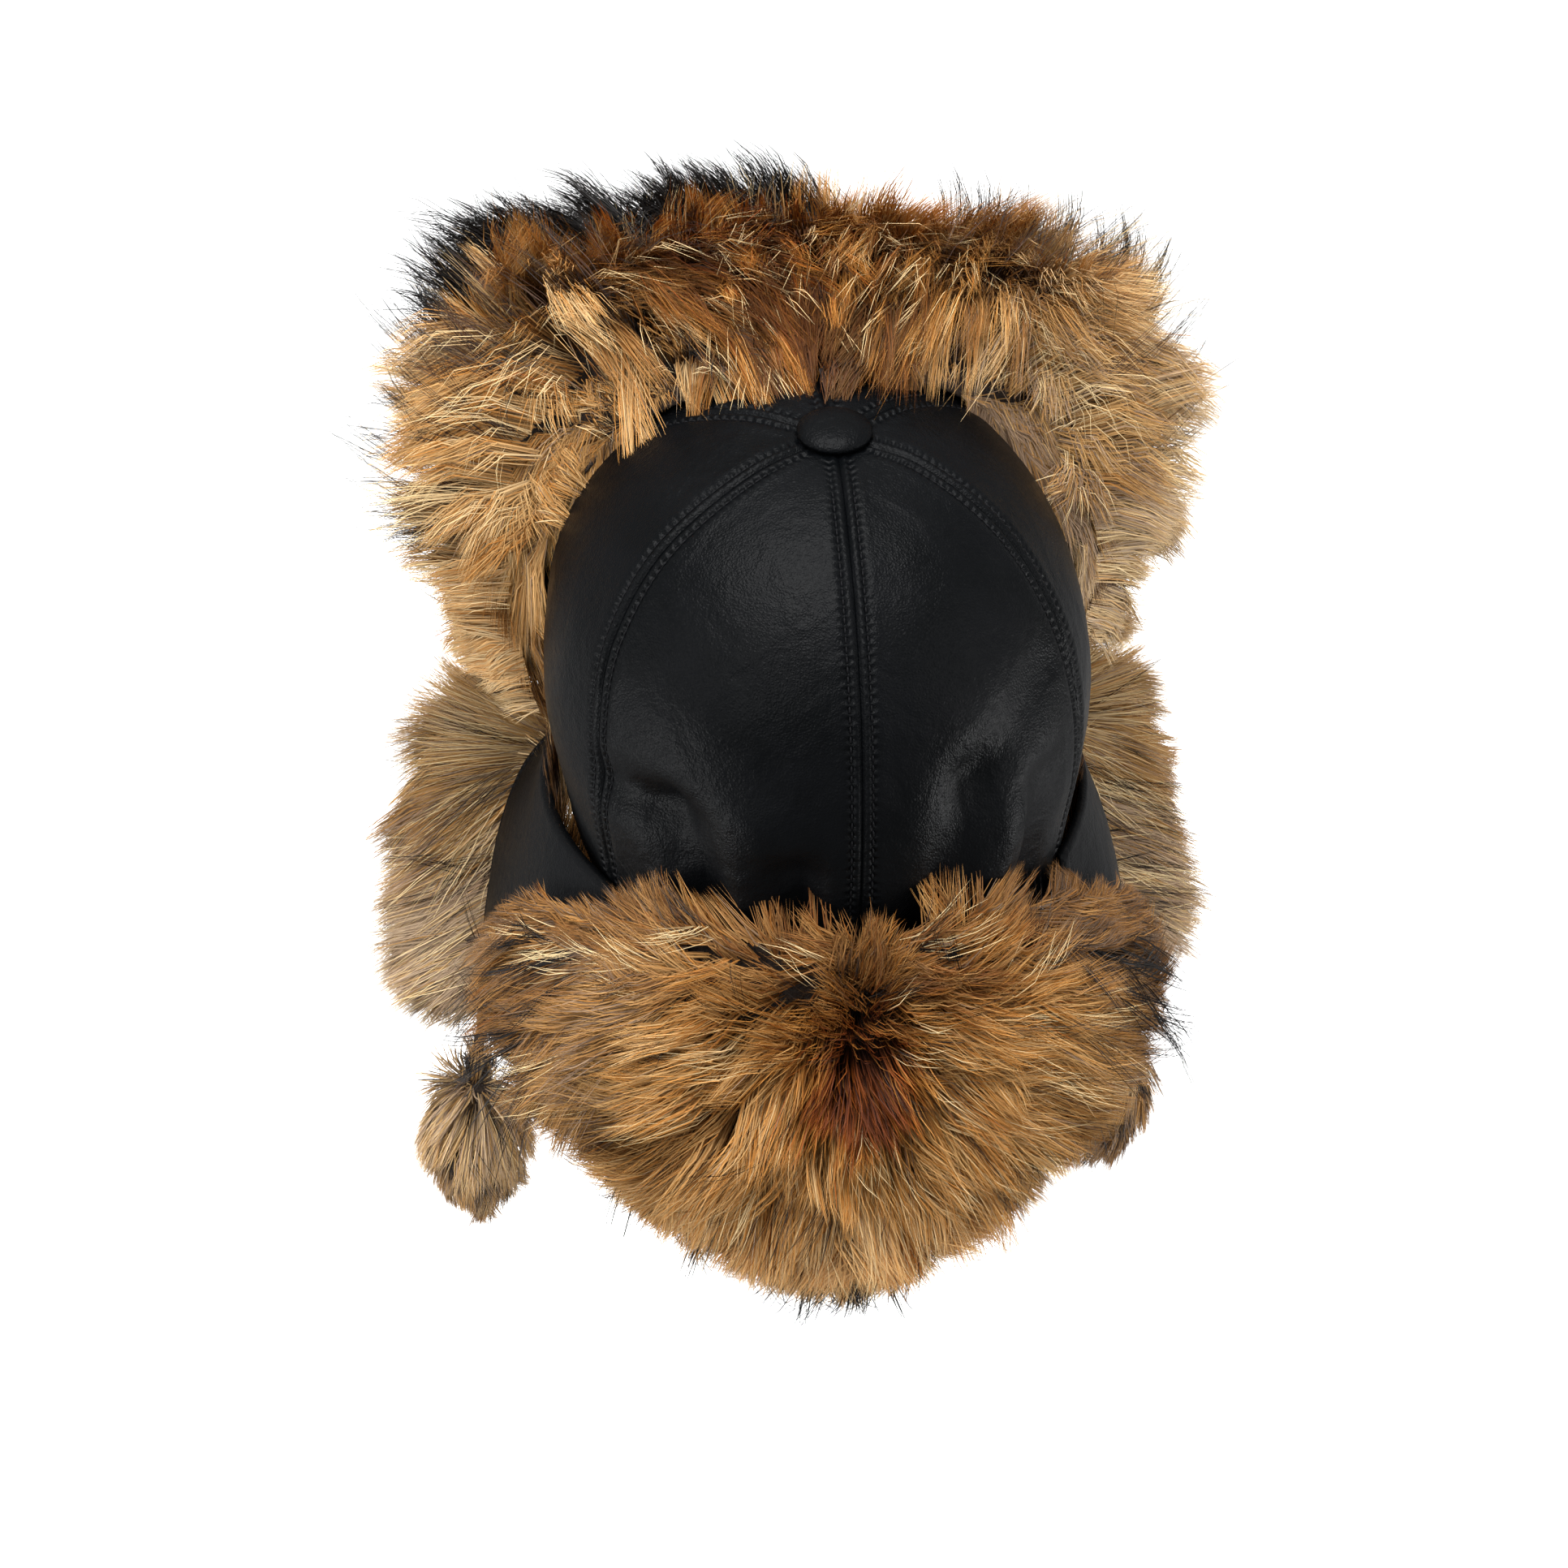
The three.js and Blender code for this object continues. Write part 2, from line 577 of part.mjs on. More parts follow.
function napeFur() {
  const middle = new THREE.Vector3(0, 150, -172);
  return fur({
    us: [-1, -0.86, -0.68, -0.5, -0.33, -0.16, 0, 0.16, 0.33, 0.5, 0.68, 0.86, 1],
    vs: NAPE_ROWS.map((row) => row.z).reverse(),
    outer: napeFurOuter,
    inner: (share, z) => napePoint(napeFurTurn(share, z), z, LAY),
    inside: new THREE.Vector3(0, 60, -190),
    flow: (share, z) => napeFurOuter(share, z).sub(middle).add(new THREE.Vector3(0, 0, -12)),
    seed: 41,
    lockRows: [
      { v: -134, from: -0.8, to: 0.8, count: 5, length: 26, width: 26, lift: 28 },
      { v: -156, from: -0.92, to: 0.92, count: 8, length: 38, width: 30, lift: 26 },
      { v: -186, from: -0.92, to: 0.92, count: 8, length: 44, width: 32, lift: 22 },
      { v: -214, from: -0.88, to: 0.88, count: 5, length: 44, width: 32, lift: 18 },
      { v: -240, from: -0.8, to: 0.8, count: 3, length: 36, width: 28, lift: 14 },
    ],
  });
}

// Ties and tassels
function tieRoute({ side, swing }) {
  const top = onFlap(side, 0.5, FLAP_TIP, -WALL / 2);
  top.z -= GAP;
  const foot = top.clone().add(new THREE.Vector3(side * swing, 1, -TIE.length));
  const middle = top.clone().lerp(foot, 0.5).add(new THREE.Vector3(-side * swing * 0.2, 0, 0));
  return new THREE.CatmullRomCurve3([top, middle, foot]);
}

function tie(hand) {
  const ring = stations(0, 2 * Math.PI, TIE.sides).slice(0, TIE.sides);
  const section = new THREE.Shape(
    ring.map((turn) => new THREE.Vector2(TIE.radius * Math.cos(turn), TIE.radius * Math.sin(turn))),
  );
  return new THREE.ExtrudeGeometry(section, { steps: TIE.steps, extrudePath: tieRoute(hand) });
}

const TASSEL_RINGS = [
  { share: 0, width: 0.2 },
  { share: 0.1, width: 0.62 },
  { share: 0.32, width: 0.95 },
  { share: 0.55, width: 1 },
  { share: 0.8, width: 0.7 },
  { share: 1, width: 0.25 },
];
const TASSEL_LOCKS = [
  { share: 0.2, count: 5, length: 32, width: 19, out: 0.38 },
  { share: 0.52, count: 5, length: 36, width: 18, out: 0.16 },
  { share: 0.8, count: 3, length: 30, width: 15, out: 0.04 },
];

function tassel(hand) {
  const random = randomFrom(hand.side > 0 ? 53 : 59);
  const top = tieRoute(hand).getPoint(1);
  top.z -= GAP;
  const width = readTable(TASSEL_RINGS, 'share');
  const profile = TASSEL_RINGS.map(
    (ring) => new THREE.Vector2(TASSEL.radius * ring.width, -TASSEL.height * ring.share),
  );
  const ends = [new THREE.Vector2(0, 0), ...profile, new THREE.Vector2(0, -TASSEL.height)];
  const head = new THREE.LatheGeometry(ends.reverse(), TASSEL.sides).rotateX(Math.PI / 2);
  let body = solidOf(head.translate(top.x, top.y, top.z));
  for (const row of TASSEL_LOCKS) {
    for (let k = 0; k < row.count; k += 1) {
      const turn = ((k + row.share + 0.4 * random()) / row.count) * 2 * Math.PI;
      const outward = new THREE.Vector3(Math.cos(turn), Math.sin(turn), 0);
      const radius = TASSEL.radius * width(row.share).width;
      const root = top.clone().addScaledVector(outward, radius - 0.35 * row.width);
      root.z -= TASSEL.height * row.share;
      const length = row.length * (0.85 + 0.3 * random());
      const tip = root.clone().addScaledVector(outward, row.out * length);
      tip.z -= length;
      const bulge = root.clone().addScaledVector(outward, 0.4 * row.out * length + 0.4 * row.width);
      bulge.z -= 0.45 * length;
      const across = new THREE.Vector3(-outward.y, outward.x, 0);
      body = body.add(solidOf(lock({ root, tip, bulge, side: across, width: row.width })));
    }
  }
  return geometryOf(body);
}

// Materials
function finish(color, roughness) {
  return new THREE.MeshStandardMaterial({ color, roughness, metalness: 0 });
}

const LEATHER = { color: '#1b1b1e', roughness: 0.45 };
const FUR = { color: '#a9793f', roughness: 0.95 };
const FLAP_FUR = { color: '#9c8062', roughness: 0.95 };

const hat = new THREE.Group();

function addPiece(name, geometry, look) {
  const mesh = new THREE.Mesh(geometry, finish(look.color, look.roughness));
  mesh.name = name;
  hat.add(mesh);
  return mesh;
}

// Assembly
const GORES = [
  { name: 'crown_panel_back_left', firstTurn: 0 },
  { name: 'crown_panel_side_left', firstTurn: 60 },
  { name: 'crown_panel_front_left', firstTurn: 120 },
  { name: 'crown_panel_front_right', firstTurn: 180 },
  { name: 'crown_panel_side_right', firstTurn: 240 },
  { name: 'crown_panel_back_right', firstTurn: 300 },
];
for (const { name, firstTurn } of GORES) {
  addPiece(name, gore(firstTurn), LEATHER);
}

const buttonMesh = addPiece('top_button', button(), LEATHER);
const hole = crownRing(0);
buttonMesh.position.set(APEX.x, APEX.y, hole.z - APEX.lean * APEX.y + GAP);
buttonMesh.rotation.x = -Math.atan(APEX.lean);

addPiece('visor_backing', visorLeather(), LEATHER);
addPiece('visor_fur', visorFur(), FUR);
addPiece('nape_backing', napeLeather(), LEATHER);
addPiece('nape_fur', napeFur(), FUR);

for (const hand of HANDS) {
  addPiece(`ear_flap_${hand.hand}`, flapLeather(hand.side), LEATHER);
  addPiece(`ear_fur_${hand.hand}`, earFur(hand.side), FLAP_FUR);
  addPiece(`tie_${hand.hand}`, tie(hand), LEATHER);
  addPiece(`pompom_${hand.hand}`, tassel(hand), FLAP_FUR);
}

export default hat;
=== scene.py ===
# %% [markdown]
# This script dresses a packed hat: a crown of six black leather gores, a visor and a nape flap of
# long fur that are turned up and down on it, and two ear flaps with ties and tassels. The packed
# model is loaded as a frame that stays put, and each plain solid is replaced by a finer piece in
# the same place. The hat's sizes are in millimetres until a mesh is made. The camera and the lights
# are placed in metres.

import math
from types import SimpleNamespace

import bpy
import numpy as np
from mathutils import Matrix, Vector


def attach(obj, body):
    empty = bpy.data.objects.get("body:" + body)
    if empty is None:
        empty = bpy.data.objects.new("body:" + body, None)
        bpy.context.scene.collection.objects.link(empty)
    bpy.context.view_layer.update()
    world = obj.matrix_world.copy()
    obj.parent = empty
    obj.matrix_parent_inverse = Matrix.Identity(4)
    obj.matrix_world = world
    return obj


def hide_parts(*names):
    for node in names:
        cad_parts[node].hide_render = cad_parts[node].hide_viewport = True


MM = 0.001

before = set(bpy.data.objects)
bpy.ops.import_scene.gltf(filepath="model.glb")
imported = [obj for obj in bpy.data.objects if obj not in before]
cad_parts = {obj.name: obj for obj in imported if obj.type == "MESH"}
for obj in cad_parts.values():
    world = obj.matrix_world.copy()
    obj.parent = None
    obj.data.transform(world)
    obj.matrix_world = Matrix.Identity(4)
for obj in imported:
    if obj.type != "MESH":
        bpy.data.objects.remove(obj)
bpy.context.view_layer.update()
print("CAD nodes:", sorted(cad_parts))

# %% [markdown]
# The photograph looks down on the back of the hat from a little to its right. A long lens a metre
# and a half away gives the same flat perspective, and the camera comes first because the cords are
# judged by what it sees.

# %% Aim the camera
AZIMUTH = math.radians(173)
ELEVATION = math.radians(35)
CAMERA_DISTANCE = 1.5
AIM = Vector((0.0195, 0.0695, -0.0887))
LENS = 105.47
SENSOR = 36

scene = bpy.context.scene
level = math.cos(ELEVATION)
towards_camera = Vector((math.sin(AZIMUTH) * level, -math.cos(AZIMUTH) * level, math.sin(ELEVATION)))
camera_data = bpy.data.cameras.new("camera")
camera_data.lens = LENS
camera_data.sensor_width = SENSOR
camera = bpy.data.objects.new("camera", camera_data)
camera.location = AIM + CAMERA_DISTANCE * towards_camera
camera.rotation_euler = towards_camera.to_track_quat("Z", "Y").to_euler()
scene.collection.objects.link(camera)
scene.camera = camera
scene.view_settings.view_transform = "Standard"
print("camera at", tuple(round(v, 3) for v in camera.location))

# %% [markdown]
# All finishes are node materials. One function adds a node with its settings and its links, and one
# turns the sRGB hex colours, which are easy to compare with a picture, into linear light.


# %% Helpers for materials
def linear(hex_colour):
    """A colour such as '#b8864b' as linear red, green, blue and alpha."""
    shares = [int(hex_colour[k : k + 2], 16) / 255 for k in (1, 3, 5)]
    curve = [s / 12.92 if s <= 0.04045 else ((s + 0.055) / 1.055) ** 2.4 for s in shares]
    return (*curve, 1.0)


def add(tree, kind, inputs=None, stops=(), **settings):
    """Adds a node. An input is a value, an output socket, or a node whose first output feeds it.

    stops are a colour ramp's stops, each a place and an sRGB hex colour.
    """
    made = tree.nodes.new(kind)
    for name, value in settings.items():
        setattr(made, name, value)
    for name, value in (inputs or {}).items():
        if isinstance(value, bpy.types.Node):
            value = value.outputs[0]
        if isinstance(value, bpy.types.NodeSocket):
            tree.links.new(value, made.inputs[name])
        else:
            made.inputs[name].default_value = value
    while stops and len(made.color_ramp.elements) < len(stops):
        made.color_ramp.elements.new(1.0)
    for k, (place, colour) in enumerate(stops):
        made.color_ramp.elements[k].position = place
        made.color_ramp.elements[k].color = linear(colour)
    return made


def new_material(name):
    """An empty node material and its tree."""
    material = bpy.data.materials.new(name)
    material.use_nodes = True
    material.node_tree.nodes.clear()
    return material, material.node_tree


# %% [markdown]
# The leather is drum-dyed lamb nappa: nearly black and a little cool, with a fine pressed grain and
# a soft waxy sheen that is duller where it has been handled. The grain cells of lamb are under a
# millimetre across. They are drawn 1.1 mm wide, so that they show at this distance.

# %% Leather
GRAIN_CELL = 1.1
PORE = 2.6
WRINKLE = 16
HANDLED_PATCH = 38
STITCH_PITCH = 3.2
STITCH_ROW = 3.4
PUCKER = 1.5
SEAM_CHART = "seam_chart"  # across: distance from the seam, up: way along it, both in decimetres
DECIMETRE = 100


def puckers(tree):
    """Height that dips at each stitch of the rows beside a seam and swells between stitches."""
    math_node = "ShaderNodeMath"
    chart = add(tree, "ShaderNodeUVMap", uv_map=SEAM_CHART)
    split = add(tree, "ShaderNodeSeparateXYZ", {"Vector": chart})
    turns = {0: split.outputs["Y"], 1: DECIMETRE * 2 * math.pi / STITCH_PITCH, 2: math.pi}
    angle = add(tree, math_node, turns, operation="MULTIPLY_ADD")
    swell = add(tree, math_node, {0: angle}, operation="COSINE")
    away = {0: split.outputs["X"], 1: DECIMETRE / PUCKER, 2: -STITCH_ROW / PUCKER}
    away = add(tree, math_node, away, operation="MULTIPLY_ADD")
    away = add(tree, math_node, {0: away}, operation="ABSOLUTE")
    square = add(tree, math_node, {0: away, 1: 2.0}, operation="POWER")
    fall = add(tree, math_node, {0: square, 1: -1.0}, operation="MULTIPLY")
    near = add(tree, math_node, {0: fall}, operation="EXPONENT")
    return add(tree, math_node, {0: swell, 1: near}, operation="MULTIPLY")


def nappa(name, colour, worn_colour, roughness, sewn=False):
    """Grained leather with slightly lighter, duller patches, puckered where it is sewn."""
    material, tree = new_material(name)
    place = add(tree, "ShaderNodeTexCoord").outputs["Object"]
    looks = {"Vector": place, "Scale": 1000 / HANDLED_PATCH, "Detail": 5.0, "Roughness": 0.6}
    patches = add(tree, "ShaderNodeTexNoise", looks)
    tint = add(tree, "ShaderNodeValToRGB", {"Fac": patches}, [(0.35, colour), (0.72, worn_colour)])
    looks = {"Value": patches, "From Min": 0.3, "From Max": 0.7}
    looks |= {"To Min": roughness - 0.05, "To Max": roughness + 0.07}
    dullness = add(tree, "ShaderNodeMapRange", looks)
    looks = {"Vector": place, "Scale": 1000 / GRAIN_CELL}
    grain = add(tree, "ShaderNodeTexVoronoi", looks, feature="DISTANCE_TO_EDGE")
    looks = {"Vector": place, "Scale": 1000 / PORE, "Detail": 3.0, "Roughness": 0.65}
    pores = add(tree, "ShaderNodeTexNoise", looks)
    looks = {"Vector": place, "Scale": 1000 / WRINKLE, "Detail": 4.0, "Roughness": 0.55, "Distortion": 0.6}
    wrinkles = add(tree, "ShaderNodeTexNoise", looks)
    reliefs = [(grain.outputs["Distance"], 0.5, 0.0004), (pores, 0.4, 0.0006), (wrinkles, 0.35, 0.003)]
    if sewn:
        reliefs.append((puckers(tree), 0.5, 0.0006))
    normal = {}
    for relief, strength, depth in reliefs:
        looks = {"Height": relief, "Strength": strength, "Distance": depth, **normal}
        normal = {"Normal": add(tree, "ShaderNodeBump", looks)}
    looks = {"Base Color": tint, "Roughness": dullness, "IOR": 1.5, "Specular IOR Level": 0.05, **normal}
    shader = add(tree, "ShaderNodeBsdfPrincipled", looks)
    add(tree, "ShaderNodeOutputMaterial", {"Surface": shader})
    return material


crown_leather = nappa("lamb_nappa_black", "#040506", "#08090b", 0.37, sewn=True)
flap_leather = nappa("lamb_nappa_black_matt", "#08090a", "#0d0e10", 0.46)
print("leather:", crown_leather.name, flap_leather.name)

# %% [markdown]
# The topstitching is bonded polyester thread, black like the leather, and it catches a little more
# light because it stands up round and smooth. Its twist repeats every 0.8 mm.

# %% Thread
THREAD_TWIST = 0.8

thread, tree = new_material("bonded_polyester_thread_black")
place = add(tree, "ShaderNodeTexCoord").outputs["Object"]
twist = add(tree, "ShaderNodeTexNoise", {"Vector": place, "Scale": 1000 / THREAD_TWIST, "Detail": 2.0})
tint = add(tree, "ShaderNodeValToRGB", {"Fac": twist}, [(0.3, "#050506"), (0.7, "#0e0e11")])
looks = {"Base Color": tint, "Roughness": 0.6, "Specular IOR Level": 0.1}
shader = add(tree, "ShaderNodeBsdfPrincipled", looks)
add(tree, "ShaderNodeOutputMaterial", {"Surface": shader})
print("thread:", thread.name)

# %% [markdown]
# Raccoon and fox furs have a dense woolly underfur, dark at the skin and golden further out, and
# longer guard hairs with black or cream tips. A hair's colour depends only on which tuft it is in
# and how far along it one looks. So each hair has a place in a small colour chart: across the chart
# lie the tuft colours, in four families of five tones, and up the chart runs the hair from root to
# tip. The chart is the mesh's UV map.

# %% Fur
CHART = "OFBake"
TUFTS = {
    "grey": ["#3e2e21", "#68523f", "#8d735b", "#ab9076", "#cab294"],
    "tan": ["#53381a", "#83592c", "#ac7f48", "#c99f65", "#ecd0a0"],
    "gold": ["#45270c", "#794717", "#a66c2a", "#cc8f46", "#f2c78a"],
    "orange": ["#321405", "#632d08", "#964c10", "#bd6d22", "#e09a4c"],
}
TONES = 5
TUFT_COLOURS = [colour for tones in TUFTS.values() for colour in tones]
TUFT_STOPS = [((k + 0.5) / len(TUFT_COLOURS), colour) for k, colour in enumerate(TUFT_COLOURS)]
# Dark at the root, as the real hair is, and darker still up to the middle of the hair as painted shade for
# the depth between the locks.
ROOT_TO_TIP = [(0.0, "#2c241d"), (0.3, "#5f554b"), (0.62, "#cfc9c2"), (1.0, "#ffffff")]


def fur_material(name, roughness, tip=None, begins=0.0, ends=1.0):
    """Hair in its tuft's colour, dark at the root. From begins to ends it turns to the tip's colour."""
    material, tree = new_material(name)
    chart = add(tree, "ShaderNodeUVMap", uv_map=CHART)
    split = add(tree, "ShaderNodeSeparateXYZ", {"Vector": chart})
    reach = split.outputs["Y"]
    hue = add(tree, "ShaderNodeValToRGB", {"Fac": split.outputs["X"]}, TUFT_STOPS)
    shade = add(tree, "ShaderNodeValToRGB", {"Fac": reach}, ROOT_TO_TIP)
    parts = {"Factor": 1.0, "A": hue, "B": shade}
    colour = add(tree, "ShaderNodeMix", parts, data_type="RGBA", blend_type="MULTIPLY")
    if tip:
        share = add(tree, "ShaderNodeValToRGB", {"Fac": reach}, [(begins, "#000000"), (ends, "#ffffff")])
        parts = {"Factor": share, "A": colour.outputs["Result"], "B": linear(tip)}
        colour = add(tree, "ShaderNodeMix", parts, data_type="RGBA")
    looks = {"Base Color": colour.outputs["Result"], "IOR": 1.55, "Specular IOR Level": 0.16}
    shader = add(tree, "ShaderNodeBsdfPrincipled", {**looks, "Roughness": roughness})
    add(tree, "ShaderNodeOutputMaterial", {"Surface": shader})
    return material


underfur = fur_material("raccoon_underfur", 0.62)
black_tipped = fur_material("raccoon_guard_hair_black_tipped", 0.45, "#0c0806", 0.35, 0.62)
black_guard = fur_material("raccoon_guard_hair_black", 0.45, "#0c0806", 0.0, 0.2)
cream_tipped = fur_material("raccoon_guard_hair_cream_tipped", 0.42, "#ecd3a0", 0.4, 0.9)
print("fur:", underfur.name, black_tipped.name, black_guard.name, cream_tipped.name)

# %% [markdown]
# Under the hair lies the tanned skin with its densest wool. It only shows where the locks part, so it is
# drawn as matted brown wool with strands 1.6 mm wide, coarse enough to show. Its brown is darker than the
# wool's own, as painted shade for the depth between the locks.

# %% Wool at the skin
WOOL_STRAND = 1.6

wool, tree = new_material("raccoon_wool_at_skin_painted_shade")
place = add(tree, "ShaderNodeTexCoord").outputs["Object"]
looks = {"Vector": place, "Scale": 1000 / WOOL_STRAND, "Detail": 4.0, "Distortion": 1.2}
strands = add(tree, "ShaderNodeTexNoise", looks)
# Painted shade: these browns are darker than the real wool, for the shade between the locks.
stops = [(0.3, "#120b06"), (0.55, "#26180c"), (0.75, "#3a2814")]
tint = add(tree, "ShaderNodeValToRGB", {"Fac": strands}, stops)
normal = add(tree, "ShaderNodeBump", {"Height": strands, "Strength": 0.8, "Distance": 0.0012})
shader = add(tree, "ShaderNodeBsdfPrincipled", {"Base Color": tint, "Normal": normal, "Roughness": 0.9})
add(tree, "ShaderNodeOutputMaterial", {"Surface": shader})
print("wool:", wool.name)

# %% [markdown]
# Meshes are made from arrays, because a fur has tens of thousands of hairs. One function makes the object,
# gives it its material, sets it on the hat's body and hides the solid that it stands for.


# %% Helpers for meshes
triangle_counts = {}


def add_piece(name, points, faces, material, replaces=(), chart=None, chart_name=CHART):
    """Makes one piece from points in millimetres and from arrays of faces."""
    mesh = bpy.data.meshes.new(name)
    corners = np.concatenate([part.ravel() for part in faces]).astype(np.int32)
    sizes = np.concatenate([np.full(len(part), part.shape[1]) for part in faces])
    starts = np.concatenate([[0], np.cumsum(sizes)[:-1]]).astype(np.int32)
    mesh.vertices.add(len(points))
    mesh.vertices.foreach_set("co", (np.asarray(points) * MM).astype(np.float32).ravel())
    mesh.loops.add(len(corners))
    mesh.loops.foreach_set("vertex_index", corners)
    mesh.polygons.add(len(sizes))
    mesh.polygons.foreach_set("loop_start", starts)
    mesh.update(calc_edges=True)
    mesh.shade_smooth()
    if chart is not None:
        layer = mesh.uv_layers.new(name=chart_name)
        layer.uv.foreach_set("vector", chart[corners].astype(np.float32).ravel())
    mesh.materials.append(material)
    piece = bpy.data.objects.new(name, mesh)
    scene.collection.objects.link(piece)
    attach(piece, "root")
    if replaces:
        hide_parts(*replaces)
    triangle_counts[name] = int((sizes - 2).sum())
    print(f"{name}: {triangle_counts[name]} triangles")
    return piece


def grid_faces(rows, columns, first=0, closed=False):
    """Quads between the points of a grid that is stored row by row."""
    index = first + np.arange(rows * columns).reshape(rows, columns)
    if closed:
        index = np.hstack([index, index[:, :1]])
    corners = [index[:-1, :-1], index[:-1, 1:], index[1:, 1:], index[1:, :-1]]
    return np.stack(corners, axis=-1).reshape(-1, 4)


def shell(outer, inner):
    """A closed shell between two grids of points, with its faces turned out."""
    rows, columns = outer.shape[:2]
    count = rows * columns
    points = np.concatenate([outer.reshape(-1, 3), inner.reshape(-1, 3)])
    front = grid_faces(rows, columns)
    back = grid_faces(rows, columns, count)[:, ::-1]
    index = np.arange(count).reshape(rows, columns)
    rim = np.concatenate([index[0, :-1], index[:-1, -1], index[-1, :0:-1], index[:0:-1, 0]])
    after = np.roll(rim, -1)
    side = np.stack([rim, rim + count, after + count, after], axis=-1)
    faces = np.concatenate([front, back, side])
    a, b, c, d = (points[faces[:, k]] for k in range(4))
    volume = (a * (np.cross(b, c) + np.cross(c, d))).sum()
    return points, [faces if volume > 0 else faces[:, ::-1]]


# %% [markdown]
# The hat's surfaces come from the same short tables as the solids. A table is read as a smooth curve
# through its rows: the slope at a row is the mean of the slopes on both sides of it.


# %% Read a table smoothly
def smooth_table(names, *rows):
    """The first column is what the table is read by. The others come back by name."""
    data = np.array(sorted(rows), float)
    at = data[:, 0]
    values = data[:, 1:]
    secant = np.diff(values, axis=0) / np.diff(at)[:, None]
    slope = np.vstack([secant[:1], (secant[1:] + secant[:-1]) / 2, secant[-1:]])
    columns = names.split()[1:]

    def read(place):
        place = np.clip(np.asarray(place, float), at[0], at[-1])
        low = np.clip(np.searchsorted(at, place, side="right") - 1, 0, len(at) - 2)
        gap = (at[low + 1] - at[low])[..., None]
        t = (place - at[low])[..., None] / gap
        value = (2 * t**3 - 3 * t**2 + 1) * values[low]
        value = value + (3 * t**2 - 2 * t**3) * values[low + 1]
        value = value + (t**3 - 2 * t**2 + t) * gap * slope[low]
        value = value + (t**3 - t**2) * gap * slope[low + 1]
        return {name: value[..., k] for k, name in enumerate(columns)}

    return read


def mix(low, high, share):
    return low + (high - low) * share


def ramp(value, low, high):
    """From 0 to 1 with a soft start and end."""
    share = np.clip((value - low) / (high - low), 0, 1)
    return share * share * (3 - 2 * share)


def fade(value, low, high):
    """From 1 to 0 with a soft start and end."""
    return 1 - ramp(value, low, high)


def bump_at(distance, middle, width):
    return np.exp(-(((distance - middle) / width) ** 2))


def unit(vectors):
    return vectors / np.maximum(np.linalg.norm(vectors, axis=-1, keepdims=True), 1e-9)


def points_of(x, y, z):
    return np.stack(np.broadcast_arrays(x, y, z), axis=-1)


def way_along(line):
    """The distance along a line of points at each of them."""
    return np.concatenate([[0], np.cumsum(np.linalg.norm(np.diff(line, axis=0), axis=1))])


def normal_of(surface, u, v, inside, step=1e-3):
    """Outward normals of surface(u, v), turned away from a point inside the piece."""
    du = surface(u + step, v) - surface(u - step, v)
    dv = surface(u, v + step) - surface(u, v - step)
    normal = unit(np.cross(du, dv))
    outward = ((surface(u, v) - inside) * normal).sum(axis=-1, keepdims=True)
    return np.where(outward < 0, -normal, normal)


# %% [markdown]
# The crown is six gores sewn into a deep dome. Its tables and its gathers are those of the solids.
# The finer relief is added here: the leather dips into each seam, puffs up beside it, is drawn down
# along the topstitching, and has small puckers from stitch to stitch.

# %% The crown's surface
WALL = 3.0
GAP = 0.4
SEAT = 0.9
LAY = 2.0
GORE_DEGREES = 60
GORE_TURN = math.radians(GORE_DEGREES)
APEX_X, APEX_Y, APEX_LEAN = -5, 5, 0.09
RIM_Z = -150
ROLLED_RADIUS = 98
SEAM_GAP = 0.05

crown_ring = smooth_table(
    "fall z wide left long",
    (0, 4, 6, 1, 6),
    (0.12, 2.5, 30, 1.04, 34),
    (0.28, -12, 59, 1.09, 70),
    (0.45, -39, 80, 1.07, 97),
    (0.62, -70, 90, 1.02, 110),
    (0.76, -98, 92, 1, 113),
    (0.89, -126, 88, 1, 110),
    (1, RIM_Z, 84, 1, 106),
)
# Each fold: turn from the nape in degrees and height of its top, the same of its foot, depth, width
CROWN_FOLDS = [
    (57, -88, 41, -86, 3.5, 9),
    (41, -86, 29, -128, 6.5, 9),
    (22, -82, 23, -118, -4, 10),
    (14, -98, 13, -140, 7, 8),
    (-48, -50, -25, -72, 3, 10),
    (-25, -72, -13, -128, 6, 9),
    (-33, -92, -28, -120, -4, 10),
    (-44, -86, -41, -128, 5, 7),
]
# Beside a seam: distance from it, width and height of each groove and puff
SEAM_RELIEF = [(0, 0.6, -0.6), (1.8, 0.9, 0.5), (STITCH_ROW, 0.6, -0.45), (6.0, 1.9, 0.35)]
CROWN_INSIDE = np.array([0, 0, -95])


def crown_base(turn, fall):
    ring = crown_ring(fall)
    shift = np.maximum(0, 1 - fall) ** 2
    fuller = np.where(np.sin(turn) > 0, ring["left"], 1)
    x = APEX_X * shift + ring["wide"] * fuller * np.sin(turn)
    y = APEX_Y * shift + ring["long"] * np.cos(turn)
    return points_of(x, y, ring["z"] - APEX_LEAN * shift * y)


def crown_normal(turn, fall):
    return normal_of(crown_base, turn, np.clip(fall, 0.01, 0.99), CROWN_INSIDE)


def fold_depth(turn, z):
    """How far the gathers sink the leather, measured on the rolled-out crown."""
    around = np.arctan2(np.sin(turn), np.cos(turn)) * ROLLED_RADIUS
    depth = np.zeros(np.broadcast(turn, z).shape)
    for top_turn, top_z, foot_turn, foot_z, deep, width in CROWN_FOLDS:
        top = math.radians(top_turn) * ROLLED_RADIUS
        run = math.radians(foot_turn) * ROLLED_RADIUS - top
        drop = foot_z - top_z
        share = ((around - top) * run + (z - top_z) * drop) / (run**2 + drop**2)
        share = np.clip(share, 0, 1)
        away = np.hypot(around - top - share * run, z - top_z - share * drop)
        depth += deep * np.exp(-((away / width) ** 2))
    return depth


def seam_relief(distance, room):
    """How far the leather stands out beside a seam. room is the width of the gore there."""
    relief = sum(height * bump_at(distance, middle, width) for middle, width, height in SEAM_RELIEF)
    return relief * np.clip((room - 4) / 12, 0, 1)


